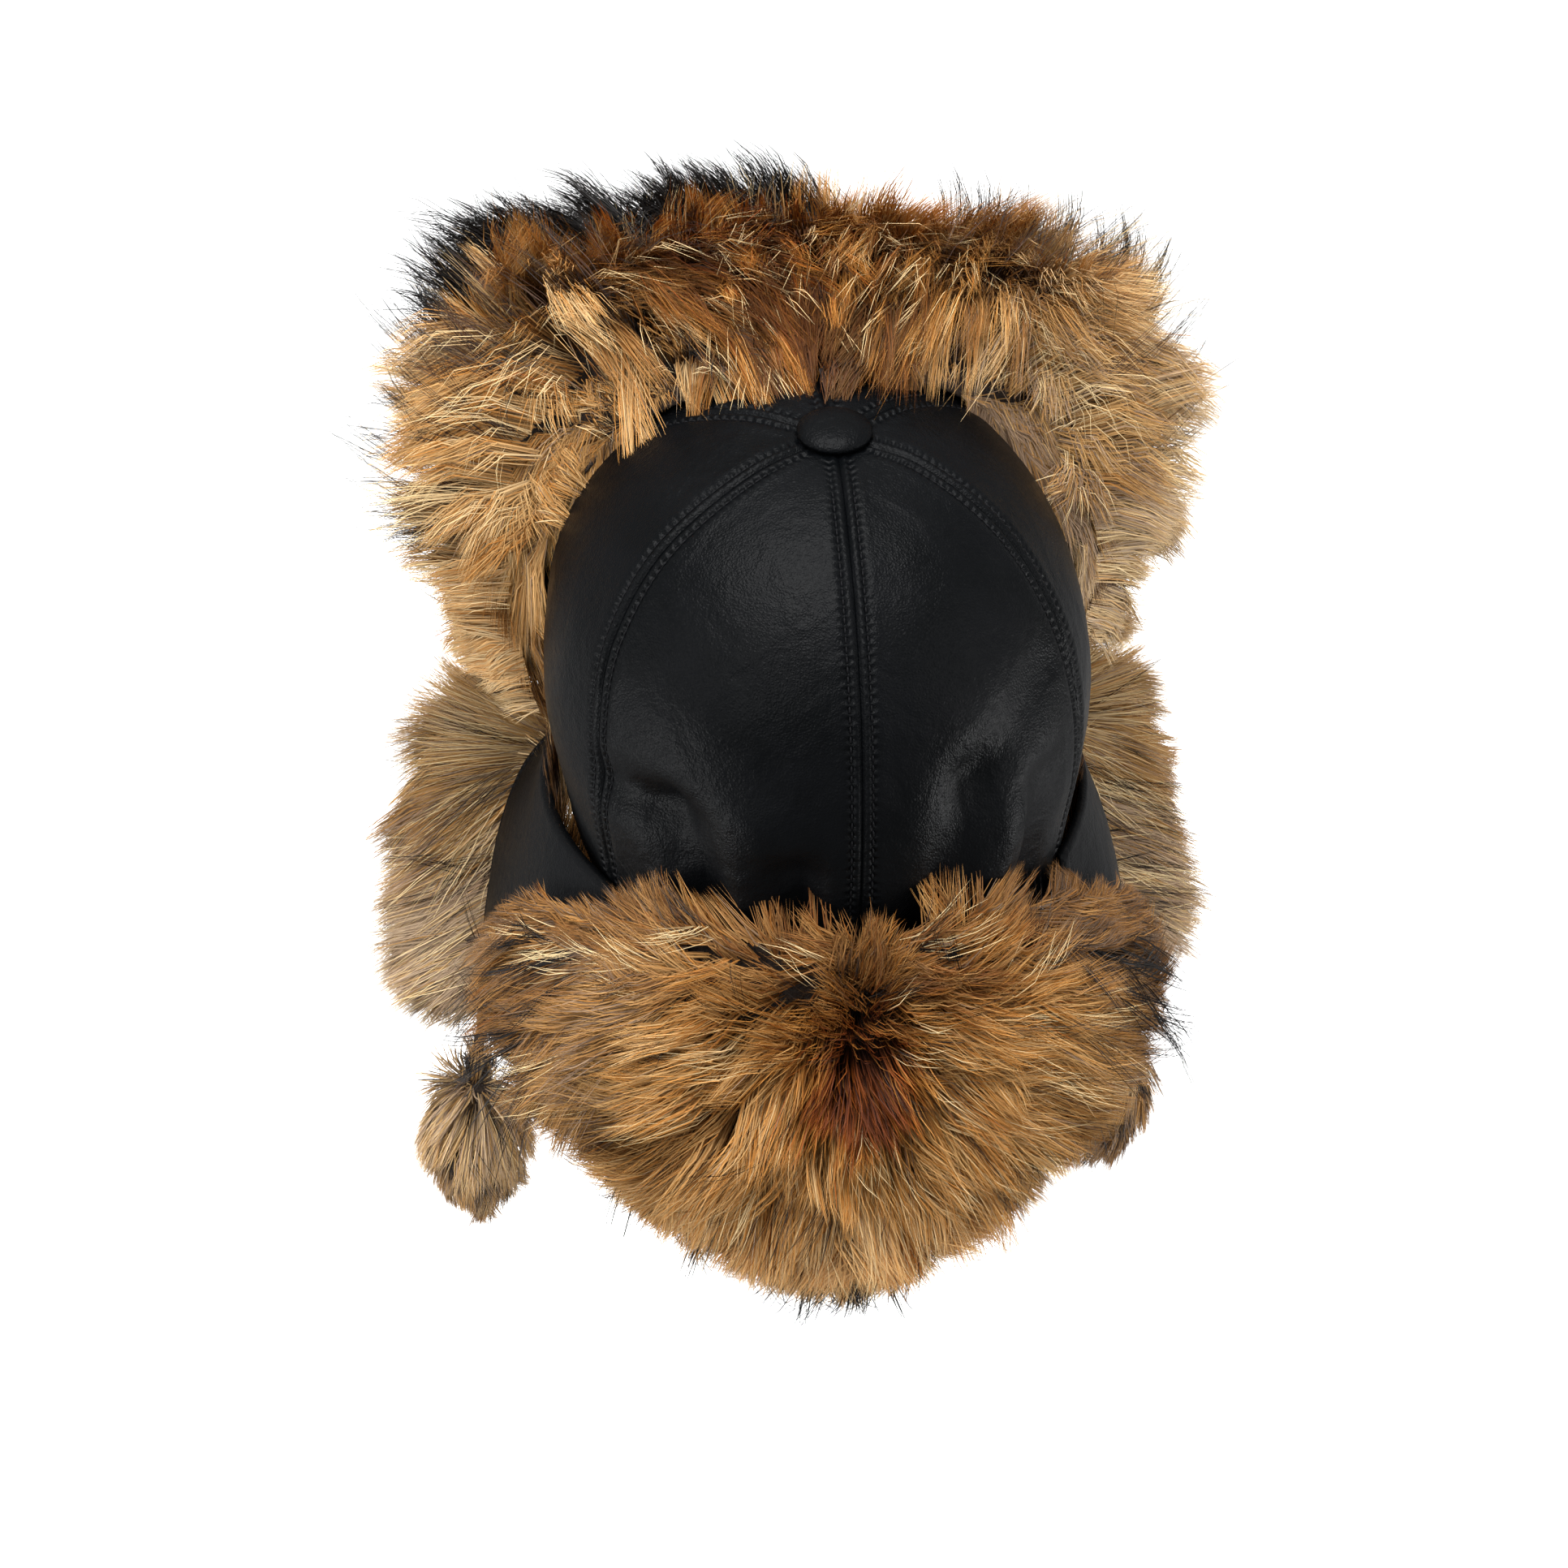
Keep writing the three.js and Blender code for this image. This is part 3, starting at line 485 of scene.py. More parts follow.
def slack(turn, z):
    """Slow swells of soft leather between the seams, deeper towards the rim."""
    waves = np.sin(3.1 * turn + 0.045 * z + 0.6) + 0.7 * np.sin(5.3 * turn - 0.06 * z + 2.1)
    waves += 0.45 * np.sin(9.7 * turn + 0.085 * z + 1.2)
    return 0.7 * np.clip(z / RIM_Z, 0, 1) * waves


# %% Cut the six gores
GORES = ["back_left", "side_left", "front_left", "front_right", "side_right", "back_right"]
EDGE_COLUMNS = [0, 0.3, 0.7, 1.2, 1.8, 2.4, 2.8, 3.1, 3.4, 3.7, 4.1, 4.8, 5.8, 7.2, 9.0, 11.5]
MIDDLE_COLUMNS = 7
GORE_ROWS = 80

rows = np.linspace(0, 1, GORE_ROWS) ** 0.92
row_places = way_along(crown_base(0.0, rows))


def gore_grid(first_turn):
    """Turns, falls and distances from the nearer seam for the points of a gore."""
    wide = crown_ring(rows)["wide"][:, None]
    room = GORE_TURN * wide - SEAM_GAP
    edge = np.array(EDGE_COLUMNS)[None, :] * np.minimum(1, room / 2 / (EDGE_COLUMNS[-1] + 1))
    middle = np.linspace(0, 1, MIDDLE_COLUMNS + 2)[1:-1]
    middle = mix(edge[:, -1:], room - edge[:, -1:], middle[None, :])
    across = np.hstack([edge, middle, room - edge[:, ::-1]])
    distance = np.minimum(across, room - across)
    turn = first_turn + (across + SEAM_GAP / 2) / wide
    fall = np.broadcast_to(rows[:, None], turn.shape)
    return turn, fall, distance, np.broadcast_to(room, turn.shape)


def crown_outside(turn, fall, distance, room):
    base = crown_base(turn, fall)
    height = seam_relief(distance, room)
    edge = np.clip(distance / 14, 0, 1) * np.clip((room - 20) / 40, 0, 1)
    height = height + slack(turn, base[..., 2]) * edge - fold_depth(turn, base[..., 2])
    return base + crown_normal(turn, fall) * height[..., None]


for k, part in enumerate(GORES):
    turn, fall, distance, room = gore_grid(math.radians(k * GORE_DEGREES))
    outer = crown_outside(turn, fall, distance, room)
    sunk = fold_depth(turn, crown_base(turn, fall)[..., 2]) + WALL
    inner = crown_base(turn, fall) - crown_normal(turn, fall) * sunk[..., None]
    points, faces = shell(outer, inner)
    along = np.broadcast_to(row_places[:, None], turn.shape)
    chart = np.stack([distance, along], axis=-1).reshape(-1, 2) / DECIMETRE
    chart = np.concatenate([chart, chart])
    solid = f"crown_panel_{part}"
    add_piece(f"{solid}_leather", points, faces, crown_leather, [solid], chart, SEAM_CHART)

# %% [markdown]
# Each seam is topstitched on both sides, 3.4 mm from it, at 3.2 mm a stitch. Every stitch is
# modelled: a short round of thread whose ends dive into the leather.

# %% Sew the topstitching
STITCH_LENGTH = 2.5
STITCH_RADIUS = 0.42
STITCH_SIDES = 5
STITCH_RINGS = [(-1, 0.35), (-0.5, 0.95), (0.5, 0.95), (1, 0.35)]  # share of half the length, girth


def stitches(centres, along, up):
    """Points and faces of one stitch at each centre, which lies at the leather."""
    centres = centres + up * (STITCH_RADIUS / 2)
    side = np.cross(along, up)
    rings = []
    for reach, girth in STITCH_RINGS:
        middle = centres + along * (reach * STITCH_LENGTH / 2)
        middle = middle - up * (0.3 * reach**2)
        for k in range(STITCH_SIDES):
            turn = 2 * math.pi * k / STITCH_SIDES
            spoke = math.cos(turn) * side + math.sin(turn) * up
            rings.append(middle + spoke * (STITCH_RADIUS * girth))
    points = np.stack(rings, axis=1)
    per_stitch = points.shape[1]
    first = (np.arange(len(centres)) * per_stitch)[:, None, None]
    walls = grid_faces(len(STITCH_RINGS), STITCH_SIDES, closed=True)[None] + first
    cap = np.arange(STITCH_SIDES)
    ends = np.stack([cap, (per_stitch - STITCH_SIDES + cap)[::-1]])[None] + first
    return points.reshape(-1, 3), [walls.reshape(-1, 4)[:, ::-1], ends.reshape(-1, STITCH_SIDES)]


def sew(line, ups, along):
    """Centres, directions and normals of the stitches on a line, one at each full pitch."""
    count = np.arange(np.ceil(along[0] / STITCH_PITCH), np.floor(along[-1] / STITCH_PITCH))
    wanted = count * STITCH_PITCH

    def read(values, ahead=0.0):
        return np.stack([np.interp(wanted + ahead, along, values[:, k]) for k in range(3)], axis=-1)

    centres = read(line)
    direction = unit(read(line, 0.5) - centres)
    up = read(ups)
    up = unit(up - (up * direction).sum(axis=-1, keepdims=True) * direction)
    return centres, direction, up


def crown_stitch_row(seam_turn, hand):
    """The stitches beside one seam."""
    fine = np.linspace(0.1, 0.985, 900)
    ring = crown_ring(fine)
    turn = seam_turn + hand * STITCH_ROW / ring["wide"]
    start = np.interp(fine[0], rows, row_places)
    along = start + way_along(crown_base(np.full_like(fine, seam_turn), fine))
    away = np.full_like(fine, STITCH_ROW)
    line = crown_outside(turn, fine, away, GORE_TURN * ring["wide"])
    return sew(line, crown_normal(turn, fine), along)


rows_sewn = [crown_stitch_row(k * GORE_TURN, hand) for k in range(len(GORES)) for hand in (-1, 1)]
centres, directions, ups = (np.concatenate(part) for part in zip(*rows_sewn))
points, faces = stitches(centres, directions, ups)
add_piece("crown_topstitching", points, faces, thread)
print("stitches on the crown:", len(centres))

# %% [markdown]
# Where the six seams meet sits a covered button: a pressed dome with a tight, slightly gathered
# edge. It is turned from a profile, and the gathers are a ripple that fades towards the middle.

# %% Top button
BUTTON_RADIUS = 12.5
BUTTON_HEIGHT = 5.0
BUTTON_SIDES = 72
BUTTON_GATHERS = 24
BUTTON_RIPPLE = 0.16
# Shares of the radius and the height: the shank, the edge and the dome
BUTTON_SHANK = [(0.0, -0.5), (0.32, -0.5), (0.34, 0.0), (0.8, -0.02)]
BUTTON_EDGE = [(0.93, 0.05), (0.985, 0.14), (1.0, 0.27), (0.99, 0.4), (0.95, 0.52), (0.9, 0.6)]
BUTTON_DOME = [(0.86, 0.66), (0.78, 0.76), (0.62, 0.88), (0.4, 0.96), (0.2, 0.99), (0.0, 1.0)]

profile = np.array(BUTTON_SHANK + BUTTON_EDGE + BUTTON_DOME)
turn = np.arange(BUTTON_SIDES) * 2 * np.pi / BUTTON_SIDES
gather = np.exp(-(((profile[:, 1] - 0.2) / 0.25) ** 2)) * (profile[:, 0] > 0.7)
ripple = BUTTON_RIPPLE * gather[:, None] * np.cos(BUTTON_GATHERS * turn)[None, :]
radius = profile[:, :1] * BUTTON_RADIUS + ripple
height = np.broadcast_to(profile[:, 1:] * BUTTON_HEIGHT, radius.shape)
lean = math.atan(APEX_LEAN)
outward = radius * np.sin(turn)
button_z = crown_ring(0.0)["z"] - APEX_LEAN * APEX_Y + GAP
x = APEX_X + radius * np.cos(turn)
y = APEX_Y + outward * math.cos(lean) + height * math.sin(lean)
points = points_of(x, y, button_z - outward * math.sin(lean) + height * math.cos(lean)).reshape(-1, 3)
faces = [grid_faces(len(profile), BUTTON_SIDES, closed=True)]
add_piece("top_button_leather", points, faces, crown_leather, ["top_button"])

# %% [markdown]
# The ear flaps are single pieces of leather that hang from the rim in front of their fur. Their edges
# are turned, so they are round, and a row of topstitching runs round them.

# %% Ear-flap leather
flap_row = smooth_table(
    "drop back front out curl tuck",
    (-16, 58, -62, 94, 17, 0),
    (0, 66, -66, 99, 14, 7),
    (18, 67, -70, 105, 9, 12),
    (42, 53, -70, 111, 6, 8),
    (66, 24, -64, 115, 4, 2),
    (84, -6, -54, 117, 2, 0),
    (94, -22, -44, 118, 1, 0),
)
FLAP_TOP = -16
FLAP_TIP = 94
FLAP_INSET = 4.5
HANDS = {"left": 1, "right": -1}


def flap_point(side, across, drop):
    row = flap_row(drop)
    bow = np.minimum(1, (2 * across - 1) ** 2)
    x = side * (row["out"] - row["curl"] * bow - row["tuck"] * (1 - across) ** 4)
    return points_of(x, mix(row["back"], row["front"], across), RIM_Z - GAP - drop)


def on_flap(side, across, drop, standoff):
    """A point off the flap's face. The flap is measured out level, because it stands upright."""
    here = np.clip(across, 0, 1) + 0 * drop
    clear = np.clip(drop, FLAP_TOP + 1, FLAP_TIP - 1) + 0 * across
    inside = points_of(0 * here, 0 * here, RIM_Z - drop + 0 * here)
    normal = normal_of(lambda u, v: flap_point(side, u, v), here, clear, inside)
    normal = unit(normal * np.array([1, 1, 0]))
    return flap_point(side, across, drop) + normal * np.asarray(standoff)[..., None]


def edge_round(distance, radius=1.5):
    """Half thickness near a turned edge, as a share: a quarter circle that ends at 1."""
    share = np.clip(distance / radius, 0, 1)
    return np.sqrt(np.maximum(0.02, 1 - (1 - share) ** 2))


def flap_relief(edge):
    """The turned edge puffs up and the row of stitches draws it down."""
    return 0.35 * bump_at(edge, 2.2, 1.4) - 0.35 * bump_at(edge, FLAP_INSET, 0.6)


near = np.array([0, 0.4, 1, 1.8, 2.6, 3.5, 4.1, 4.5, 4.9, 5.5, 6.8, 9])
drops = np.concatenate([np.linspace(FLAP_TOP, FLAP_TIP - 10, 44), FLAP_TIP - near[::-1]])
length = (flap_row(drops)["back"] - flap_row(drops)["front"])[:, None]
edge = near[None, :] * np.minimum(1 / length, 0.4 / near[-1])
middle = mix(edge[:, -1:], 1 - edge[:, -1:], np.linspace(0, 1, 14)[None, 1:-1])
across = np.hstack([edge, middle, 1 - edge[:, ::-1]])
drop = np.broadcast_to(drops[:, None], across.shape)
edge = np.minimum(np.minimum(across, 1 - across) * length, FLAP_TIP - drop)
half = WALL / 2 * edge_round(edge)

for hand, side in HANDS.items():
    swell = 0.5 * np.sin(0.09 * drop + 3 * across + side) * np.clip(edge / 15, 0, 1)
    outer = on_flap(side, across, drop, half - WALL / 2 + flap_relief(edge) + swell)
    inner = on_flap(side, across, drop, -half - WALL / 2)
    points, faces = shell(outer, inner)
    solid = f"ear_flap_{hand}"
    add_piece(f"{solid}_leather", points, faces, flap_leather, [solid])

# %% Sew round the ear flaps
drop = np.linspace(FLAP_TOP + 8, FLAP_TIP - FLAP_INSET, 240)
inset = FLAP_INSET / (flap_row(drop)["back"] - flap_row(drop)["front"])
foot = np.linspace(inset[-1], 1 - inset[-1], 40)[1:-1]
across = np.concatenate([inset, foot, 1 - inset[::-1]])
drop = np.concatenate([drop, np.full(len(foot), drop[-1]), drop[::-1]])

for hand, side in HANDS.items():
    line = on_flap(side, across, drop, flap_relief(FLAP_INSET))
    ups = unit(on_flap(side, across, drop, 1.0) - on_flap(side, across, drop, 0.0))
    points, faces = stitches(*sew(line, ups, way_along(line)))
    add_piece(f"ear_flap_{hand}_topstitching", points, faces, thread)

# %% [markdown]
# Leather also backs the visor and the nape flap. Only its edges and its inside can be seen, so plain
# turned edges are enough.

# %% Backings of the visor and the nape flap
FRONT_TURN = math.pi
VISOR_LEATHER_END = 62
VISOR_LEATHER_RISE = 0.62
VISOR_MARGIN_RISE = 0.13
VISOR_MARGIN_FROM = 9
VISOR_END = 76

visor_end = smooth_table(
    "from foot furTop depth",
    (0, 1, 0.1, 1),
    (26, 1, 0.11, 1.08),
    (42, 0.97, 0.14, 1.32),
    (54, 0.89, 0.2, 1.36),
    (66, 0.87, 0.32, 1.24),
    (VISOR_END, 0.86, 0.46, 0.4),
)
visor_depth = smooth_table(
    "rise front temple",
    (0, 20, 14),
    (0.16, 38, 23),
    (0.34, 51, 33),
    (0.52, 60, 46),
    (0.7, 58, 50),
    (0.86, 36, 33),
    (1, 6, 8),
)


def on_crown(degrees, fall, standoff):
    turn = FRONT_TURN + np.radians(degrees)
    return crown_base(turn, fall) + crown_normal(turn, fall) * np.asarray(standoff)[..., None]


def visor_fall(degrees, rise):
    end = visor_end(np.abs(degrees))
    return mix(end["foot"], end["furTop"], rise)


nape_row = smooth_table(
    "z wide long span right depth",
    (-117, 95, 115, 36, 0.87, 9),
    (-133, 97.5, 112.5, 50, 0.87, 25),
    (-150.4, 105, 108, 68, 0.87, 36),
    (-171, 114, 109.5, 73, 0.85, 42),
    (-192, 119, 110, 61, 0.78, 44),
    (-217, 120, 110, 44, 0.7, 42),
    (-240, 120, 107, 28, 0.62, 35),
    (-258, 120, 104, 14, 0.6, 24),
    (-268, 120, 102, 8, 0.6, 13),
)
NAPE_TOP = -117
NAPE_FOOT = -268
NAPE_LEATHER_TOP = RIM_Z - GAP
NAPE_LEATHER_FOOT = -240


def nape_point(degrees, z, standoff):
    row = nape_row(z)
    turn = np.radians(degrees)
    across = (row["wide"] + standoff) * np.sin(turn)
    return points_of(across, (row["long"] + standoff) * np.cos(turn), z)


share, rise = np.meshgrid(np.linspace(-1, 1, 61), np.linspace(0, VISOR_LEATHER_RISE, 40))
degrees = share * VISOR_LEATHER_END
edge = np.minimum((1 - np.abs(share)) * 90, np.minimum(rise, VISOR_LEATHER_RISE - rise) * 190)
half = WALL / 2 * edge_round(edge)
fall = visor_fall(degrees, rise)
outer = on_crown(degrees, fall, LAY + WALL / 2 + half)
points, faces = shell(outer, on_crown(degrees, fall, LAY + WALL / 2 - half))
add_piece("visor_backing_leather", points, faces, flap_leather, ["visor_backing"])

share, z = np.meshgrid(np.linspace(-1, 1, 49), np.linspace(NAPE_LEATHER_TOP, NAPE_LEATHER_FOOT, 36))
down = (NAPE_LEATHER_TOP - z) / (NAPE_LEATHER_TOP - NAPE_LEATHER_FOOT)
degrees = share * mix(46, 17, down**2.2)
edge = np.minimum((1 - np.abs(share)) * 60, np.minimum(down, 1 - down) * 90)
half = WALL / 2 * edge_round(edge)
outer = nape_point(degrees, z, half - WALL / 2)
points, faces = shell(outer, nape_point(degrees, z, -half - WALL / 2))
add_piece("nape_backing_leather", points, faces, flap_leather, ["nape_backing"])

# %% [markdown]
# Now the furs. Each is a patch between an inner surface, the skin, and an outer one, where the hair
# ends. Blender's hair curves wouldn't reach the exported model, so every hair is a narrow ribbon in
# one joined mesh. Real fur doesn't stand evenly: hairs cling together in small tufts, and tufts
# in locks. So lock centres are spread over the patch first, tufts round them and hairs round those,
# and a hair's tip is drawn towards the tip of its tuft and its lock.


# %% Grow locks, tufts and hairs
PLASTIC = 1.32471795724  # gives an even scatter without clumps or rows
LYING_BEND = 190  # a hair that lies for a length sinks by that length squared over this


class Fur:
    """A patch of fur between its outer and its inner surface, both in u and v.

    comb gives the way the hair lies and its reach. colour gives its warm score and tone, and pale
    how little its root is darkened. Both may be the same all over.
    """

    def __init__(self, slot, surfaces, low, high, inside, comb, colour, pale=0.0):
        self.slot = slot
        self.outer, self.inner = surfaces
        self.low = np.array(low, float)
        self.high = np.array(high, float)
        self.inside = np.array(inside, float)
        self.comb = comb
        self.colour = colour
        self.pale = pale

    def slopes(self, uv):
        """A small step of u and of v, and how the outer surface moves over twice that step."""
        step = 1e-3 * (self.high - self.low)
        u, v = uv[:, 0], uv[:, 1]
        du = self.outer(u + step[0], v) - self.outer(u - step[0], v)
        dv = self.outer(u, v + step[1]) - self.outer(u, v - step[1])
        return step, du, dv

    def spans(self, uv):
        """Millimetres for one step of u and of v, and the area of such a step."""
        step, du, dv = self.slopes(uv)
        du = du / (2 * step[0])
        dv = dv / (2 * step[1])
        area = np.linalg.norm(np.cross(du, dv), axis=1)
        return np.linalg.norm(du, axis=1), np.linalg.norm(dv, axis=1), area

    def spread(self, count, random):
        """Evenly scattered places, about count of them."""
        tries = np.arange(1, 12 * count + 1)
        even = np.stack([tries / PLASTIC % 1, tries / PLASTIC**2 % 1], axis=1)
        uv = mix(self.low, self.high, even)
        area = self.spans(uv)[2]
        keep = random.random(len(uv)) < area / area.max()
        share = count / max(1, keep.sum())
        return uv[keep][random.random(keep.sum()) < share]

    def around(self, centres, each, radius, random):
        """each places round every centre, within radius millimetres, and their centre's number."""
        parent = np.repeat(np.arange(len(centres)), each)
        turn = random.random(len(parent)) * 2 * np.pi
        away = radius * np.sqrt(random.random(len(parent)))
        wide, tall, _ = self.spans(centres)
        offset = [away * np.cos(turn) / wide[parent], away * np.sin(turn) / tall[parent]]
        return np.clip(centres[parent] + np.stack(offset, axis=1), self.low, self.high), parent

    def frames(self, uv):
        """Root, outer point, outward normal and combed direction with its reach."""
        u, v = uv[:, 0], uv[:, 1]
        outer = self.outer(u, v)
        root = self.inner(u, v)
        clear = np.clip(uv, mix(self.low, self.high, 0.004), mix(self.low, self.high, 0.996))
        _, du, dv = self.slopes(clear)
        normal = unit(np.cross(du, dv))
        facing = ((outer - self.inside) * normal).sum(axis=1, keepdims=True)
        normal = np.where(facing < 0, -normal, normal)
        flow, reach = self.comb(u, v, outer, unit(dv))
        flow = unit(flow - 0.85 * (flow * normal).sum(axis=1, keepdims=True) * normal)
        return root, outer, normal, flow, reach


def tip_of(frames, lift, length, yaw):
    """Where a hair ends: up to the outer surface, then along the combed direction."""
    root, outer, normal, flow, reach = frames
    side = np.cross(normal, flow)
    turned = flow * np.cos(yaw)[:, None] + side * np.sin(yaw)[:, None]
    lay = (reach * length)[:, None]
    return root + (outer - root) * lift[:, None] + turned * lay - normal * lay**2 / LYING_BEND, turned


def grow(fur, seed, style):
    """Paths of all hairs, the way their ribbons face, and their places in the colour chart."""
    random = np.random.default_rng(seed)
    lock_uv = fur.spread(style.locks, random)
    tuft_uv, tuft_lock = fur.around(lock_uv, style.tufts, style.lock_size, random)
    hair_uv, hair_tuft = fur.around(tuft_uv, style.hairs, style.tuft_size, random)
    hair_lock = tuft_lock[hair_tuft]
    lock_yaw = random.normal(0, style.yaw, len(lock_uv))
    lock_length = 1 + random.normal(0, style.uneven, len(lock_uv))
    lock_lift = 1 + random.normal(0, style.ruffle, len(lock_uv))
    tuft_yaw = lock_yaw[tuft_lock] + random.normal(0, style.yaw * 0.5, len(tuft_uv))
    tuft_length = lock_length[tuft_lock] * (1 + random.normal(0, 0.1, len(tuft_uv)))
    tuft_lift = lock_lift[tuft_lock] * (1 + random.normal(0, 0.05, len(tuft_uv)))
    lock_tip, _ = tip_of(fur.frames(lock_uv), lock_lift * style.lift, lock_length, lock_yaw)
    tuft_tip, _ = tip_of(fur.frames(tuft_uv), tuft_lift * style.lift, tuft_length, tuft_yaw)
    tuft_tip = mix(tuft_tip, lock_tip[tuft_lock], style.cling)
    frames = fur.frames(hair_uv)
    root, outer, normal = frames[:3]
    count = len(hair_uv)
    lift = tuft_lift[hair_tuft] * style.lift * (1 + random.normal(0, 0.06, count))
    length = tuft_length[hair_tuft] * (1 - 0.45 * random.random(count) ** 2)
    length = length * style.length
    yaw = tuft_yaw[hair_tuft] + random.normal(0, style.part, count)
    own_tip, turned = tip_of(frames, lift, length, yaw)
    tip = mix(own_tip, tuft_tip[hair_tuft], (style.clump * random.random(count) ** 0.4)[:, None])
    tip = tip + random.normal(0, style.stray, (count, 3))
    start = root + (outer - root) * style.start
    above = (outer - root) * lift[:, None] - (outer - root) * style.start
    t = np.array(style.bends)[None, :, None]
    rise = start[:, None] + above[:, None] * (1.7 * t - 0.7 * t**2)
    path = rise + (tip - start - above)[:, None] * t**1.6
    sway = np.cross(turned, normal) * random.normal(0, style.curl, count)[:, None]
    path = path + sway[:, None] * np.sin(np.pi * t)
    path = path - np.array([0, 0, 1.0]) * style.droop * (t**2)
    facing = normal + random.normal(0, 0.45, (count, 3))
    colour = fur.colour(hair_uv, hair_lock, random) if callable(fur.colour) else fur.colour
    column = tuft_column(*colour, hair_tuft, hair_lock, random)
    pale = fur.pale(hair_uv) if callable(fur.pale) else fur.pale
    return path, facing, hair_chart(column, np.broadcast_to(pale, column.shape), style.bends)


def hair_points(path, facing, width, girths):
    """Ribbons with a pointed tip: their points and faces."""
    count = len(path)
    pairs = len(girths)
    chord = unit(path[:, -1] - path[:, 0])
    side = unit(np.cross(chord, facing))
    half = side[:, None] * (np.array(girths)[None, :] * width[:, None] / 2)[..., None]
    edges = np.stack([path[:, :pairs] - half, path[:, :pairs] + half], axis=2)
    points = np.concatenate([edges.reshape(count, 2 * pairs, 3), path[:, pairs:]], axis=1)
    first = np.arange(count)[:, None] * (2 * pairs + 1)
    quads = [first + [2 * k, 2 * k + 1, 2 * k + 3, 2 * k + 2] for k in range(pairs - 1)]
    tips = first + [2 * pairs - 2, 2 * pairs - 1, 2 * pairs]
    return points.reshape(-1, 3), [np.concatenate(quads), tips]


def hair_chart(column, pale, bends):
    """Places in the colour chart for the points of each hair. A pale one has no dark root."""
    middle = (column + 0.5) / len(TUFT_COLOURS)
    edge = 0.2 / len(TUFT_COLOURS)
    pairs = len(bends) - 1
    across = np.append(np.tile([-edge, edge], pairs), 0)
    along = np.append(np.repeat(np.maximum(bends[:-1], 0.01), 2), 0.99)
    u = middle[:, None] + across[None, :]
    v = mix(along[None, :], 0.99, pale[:, None] * (1 - along[None, :]))
    return np.stack([u, v], axis=-1).reshape(-1, 2)


def add_hair(name, fur, material, seed, style, **changes):
    """Grows one coat of hair in a style, with the changes, and joins it into one piece."""
    style = SimpleNamespace(**{**style, **changes})
    path, facing, chart = grow(fur, seed, style)
    random = np.random.default_rng(seed + 1000)
    widths = style.width * (0.75 + 0.5 * random.random(len(path)))
    points, faces = hair_points(path, facing, widths, style.girths)
    return add_piece(name, points, faces, material, chart=chart)


SKIN_MARGIN = 0.045  # the skin stops this share of the patch inside its edges


def add_skin(name, fur, share, counts, node):
    """The matted wool under the hair: a closed body up to a share of the fur's depth."""
    across, up = np.meshgrid(np.linspace(0, 1, counts[0]), np.linspace(0, 1, counts[1]))
    u = mix(fur.low[0], fur.high[0], mix(SKIN_MARGIN, 1 - SKIN_MARGIN, across))
    v = mix(fur.low[1], fur.high[1], mix(SKIN_MARGIN, 1 - SKIN_MARGIN, up))
    inner = fur.inner(u, v)
    edge = ramp(np.minimum(across * (1 - across), up * (1 - up)), 0.0, 0.2)
    outer = mix(inner, fur.outer(u, v), (mix(0.05, share, edge))[..., None])
    points, faces = shell(outer, inner)
    return add_piece(name, points, faces, wool, [node])


# %% [markdown]
# A coat's colour follows where it grew on the animal: orange and dark along the back, gold beside it
# and pale tan or grey on the flanks. A warm score from 0 to 3 picks the family, and a tone from 0 to
# 4 picks how light the tuft is. Whole locks differ, and so does each hair a little.


# %% Pick tuft colours
def tuft_column(warm, tone, hair_tuft, hair_lock, random):
    """The column of the colour chart for each hair."""
    locks = random.normal(0, 1, (2, hair_lock.max() + 1))
    tufts = random.normal(0, 1, (2, hair_tuft.max() + 1))
    count = len(hair_tuft)
    warm = warm + 0.12 * locks[0][hair_lock] + 0.12 * tufts[0][hair_tuft]
    warm = warm + random.normal(0, 0.36, count)
    tone = tone + 0.22 * locks[1][hair_lock] + 0.25 * tufts[1][hair_tuft]
    tone = tone + random.normal(0, 0.35, count)
    family = np.clip(np.rint(warm), 0, len(TUFTS) - 1)
    return family * TONES + np.clip(tone, 0.2, TONES - 1.2)


# %% [markdown]
# Four styles of hair serve all the furs: the woolly underfur, the longer locks over it, thin wisps
# that fan out on their own, and loose strands. Where one fur differs, its own numbers say so.

# %% Styles of hair
# Hairs to a tuft and tufts to a lock are counts. Their sizes, width, stray, curl and droop are in
# millimetres. yaw of a lock and part of a hair are turns in radians. lift is a share of the fur's
# depth and length one of the combed reach, and uneven and ruffle are how much these two vary. start
# is where the drawn hair begins. cling draws tufts to their lock, and clump hairs to their tuft. A
# ribbon has its bends at these shares of its length, and its girths are shares of the width there.
WOOLLY = dict(tufts=9, hairs=12, lock_size=9, tuft_size=3.2, width=0.46)
WOOLLY |= dict(bends=(0, 0.55, 1), girths=(0.95, 0.9))
WOOLLY |= dict(lift=0.93, length=0.9, start=0.24, yaw=0.22, part=0.07, uneven=0.16, ruffle=0.08)
WOOLLY |= dict(cling=0.6, clump=0.66, stray=0.35, curl=0.9, droop=1.0)
FINE = dict(WOOLLY, bends=(0, 0.36, 0.7, 1), girths=(0.9, 1, 0.72))
LOCKS = dict(FINE, tufts=10, hairs=10, width=0.38, lift=1.0, length=1.05)
LOCKS |= dict(cling=0.75, clump=0.72, uneven=0.22)
WISPS = dict(FINE, tufts=2, hairs=5, tuft_size=2.6, width=0.2, lift=1.13, length=1.4, start=0.5)
WISPS |= dict(yaw=0.45, part=0.1, cling=0.1, clump=0.85, stray=0.5)
STRANDS = dict(FINE, tufts=4, hairs=3, tuft_size=2.6, width=0.25, lift=1.05, length=1.2, start=0.5)
STRANDS |= dict(yaw=0.3, part=0.15, cling=0.4, clump=0.6, stray=0.7, curl=1.4)
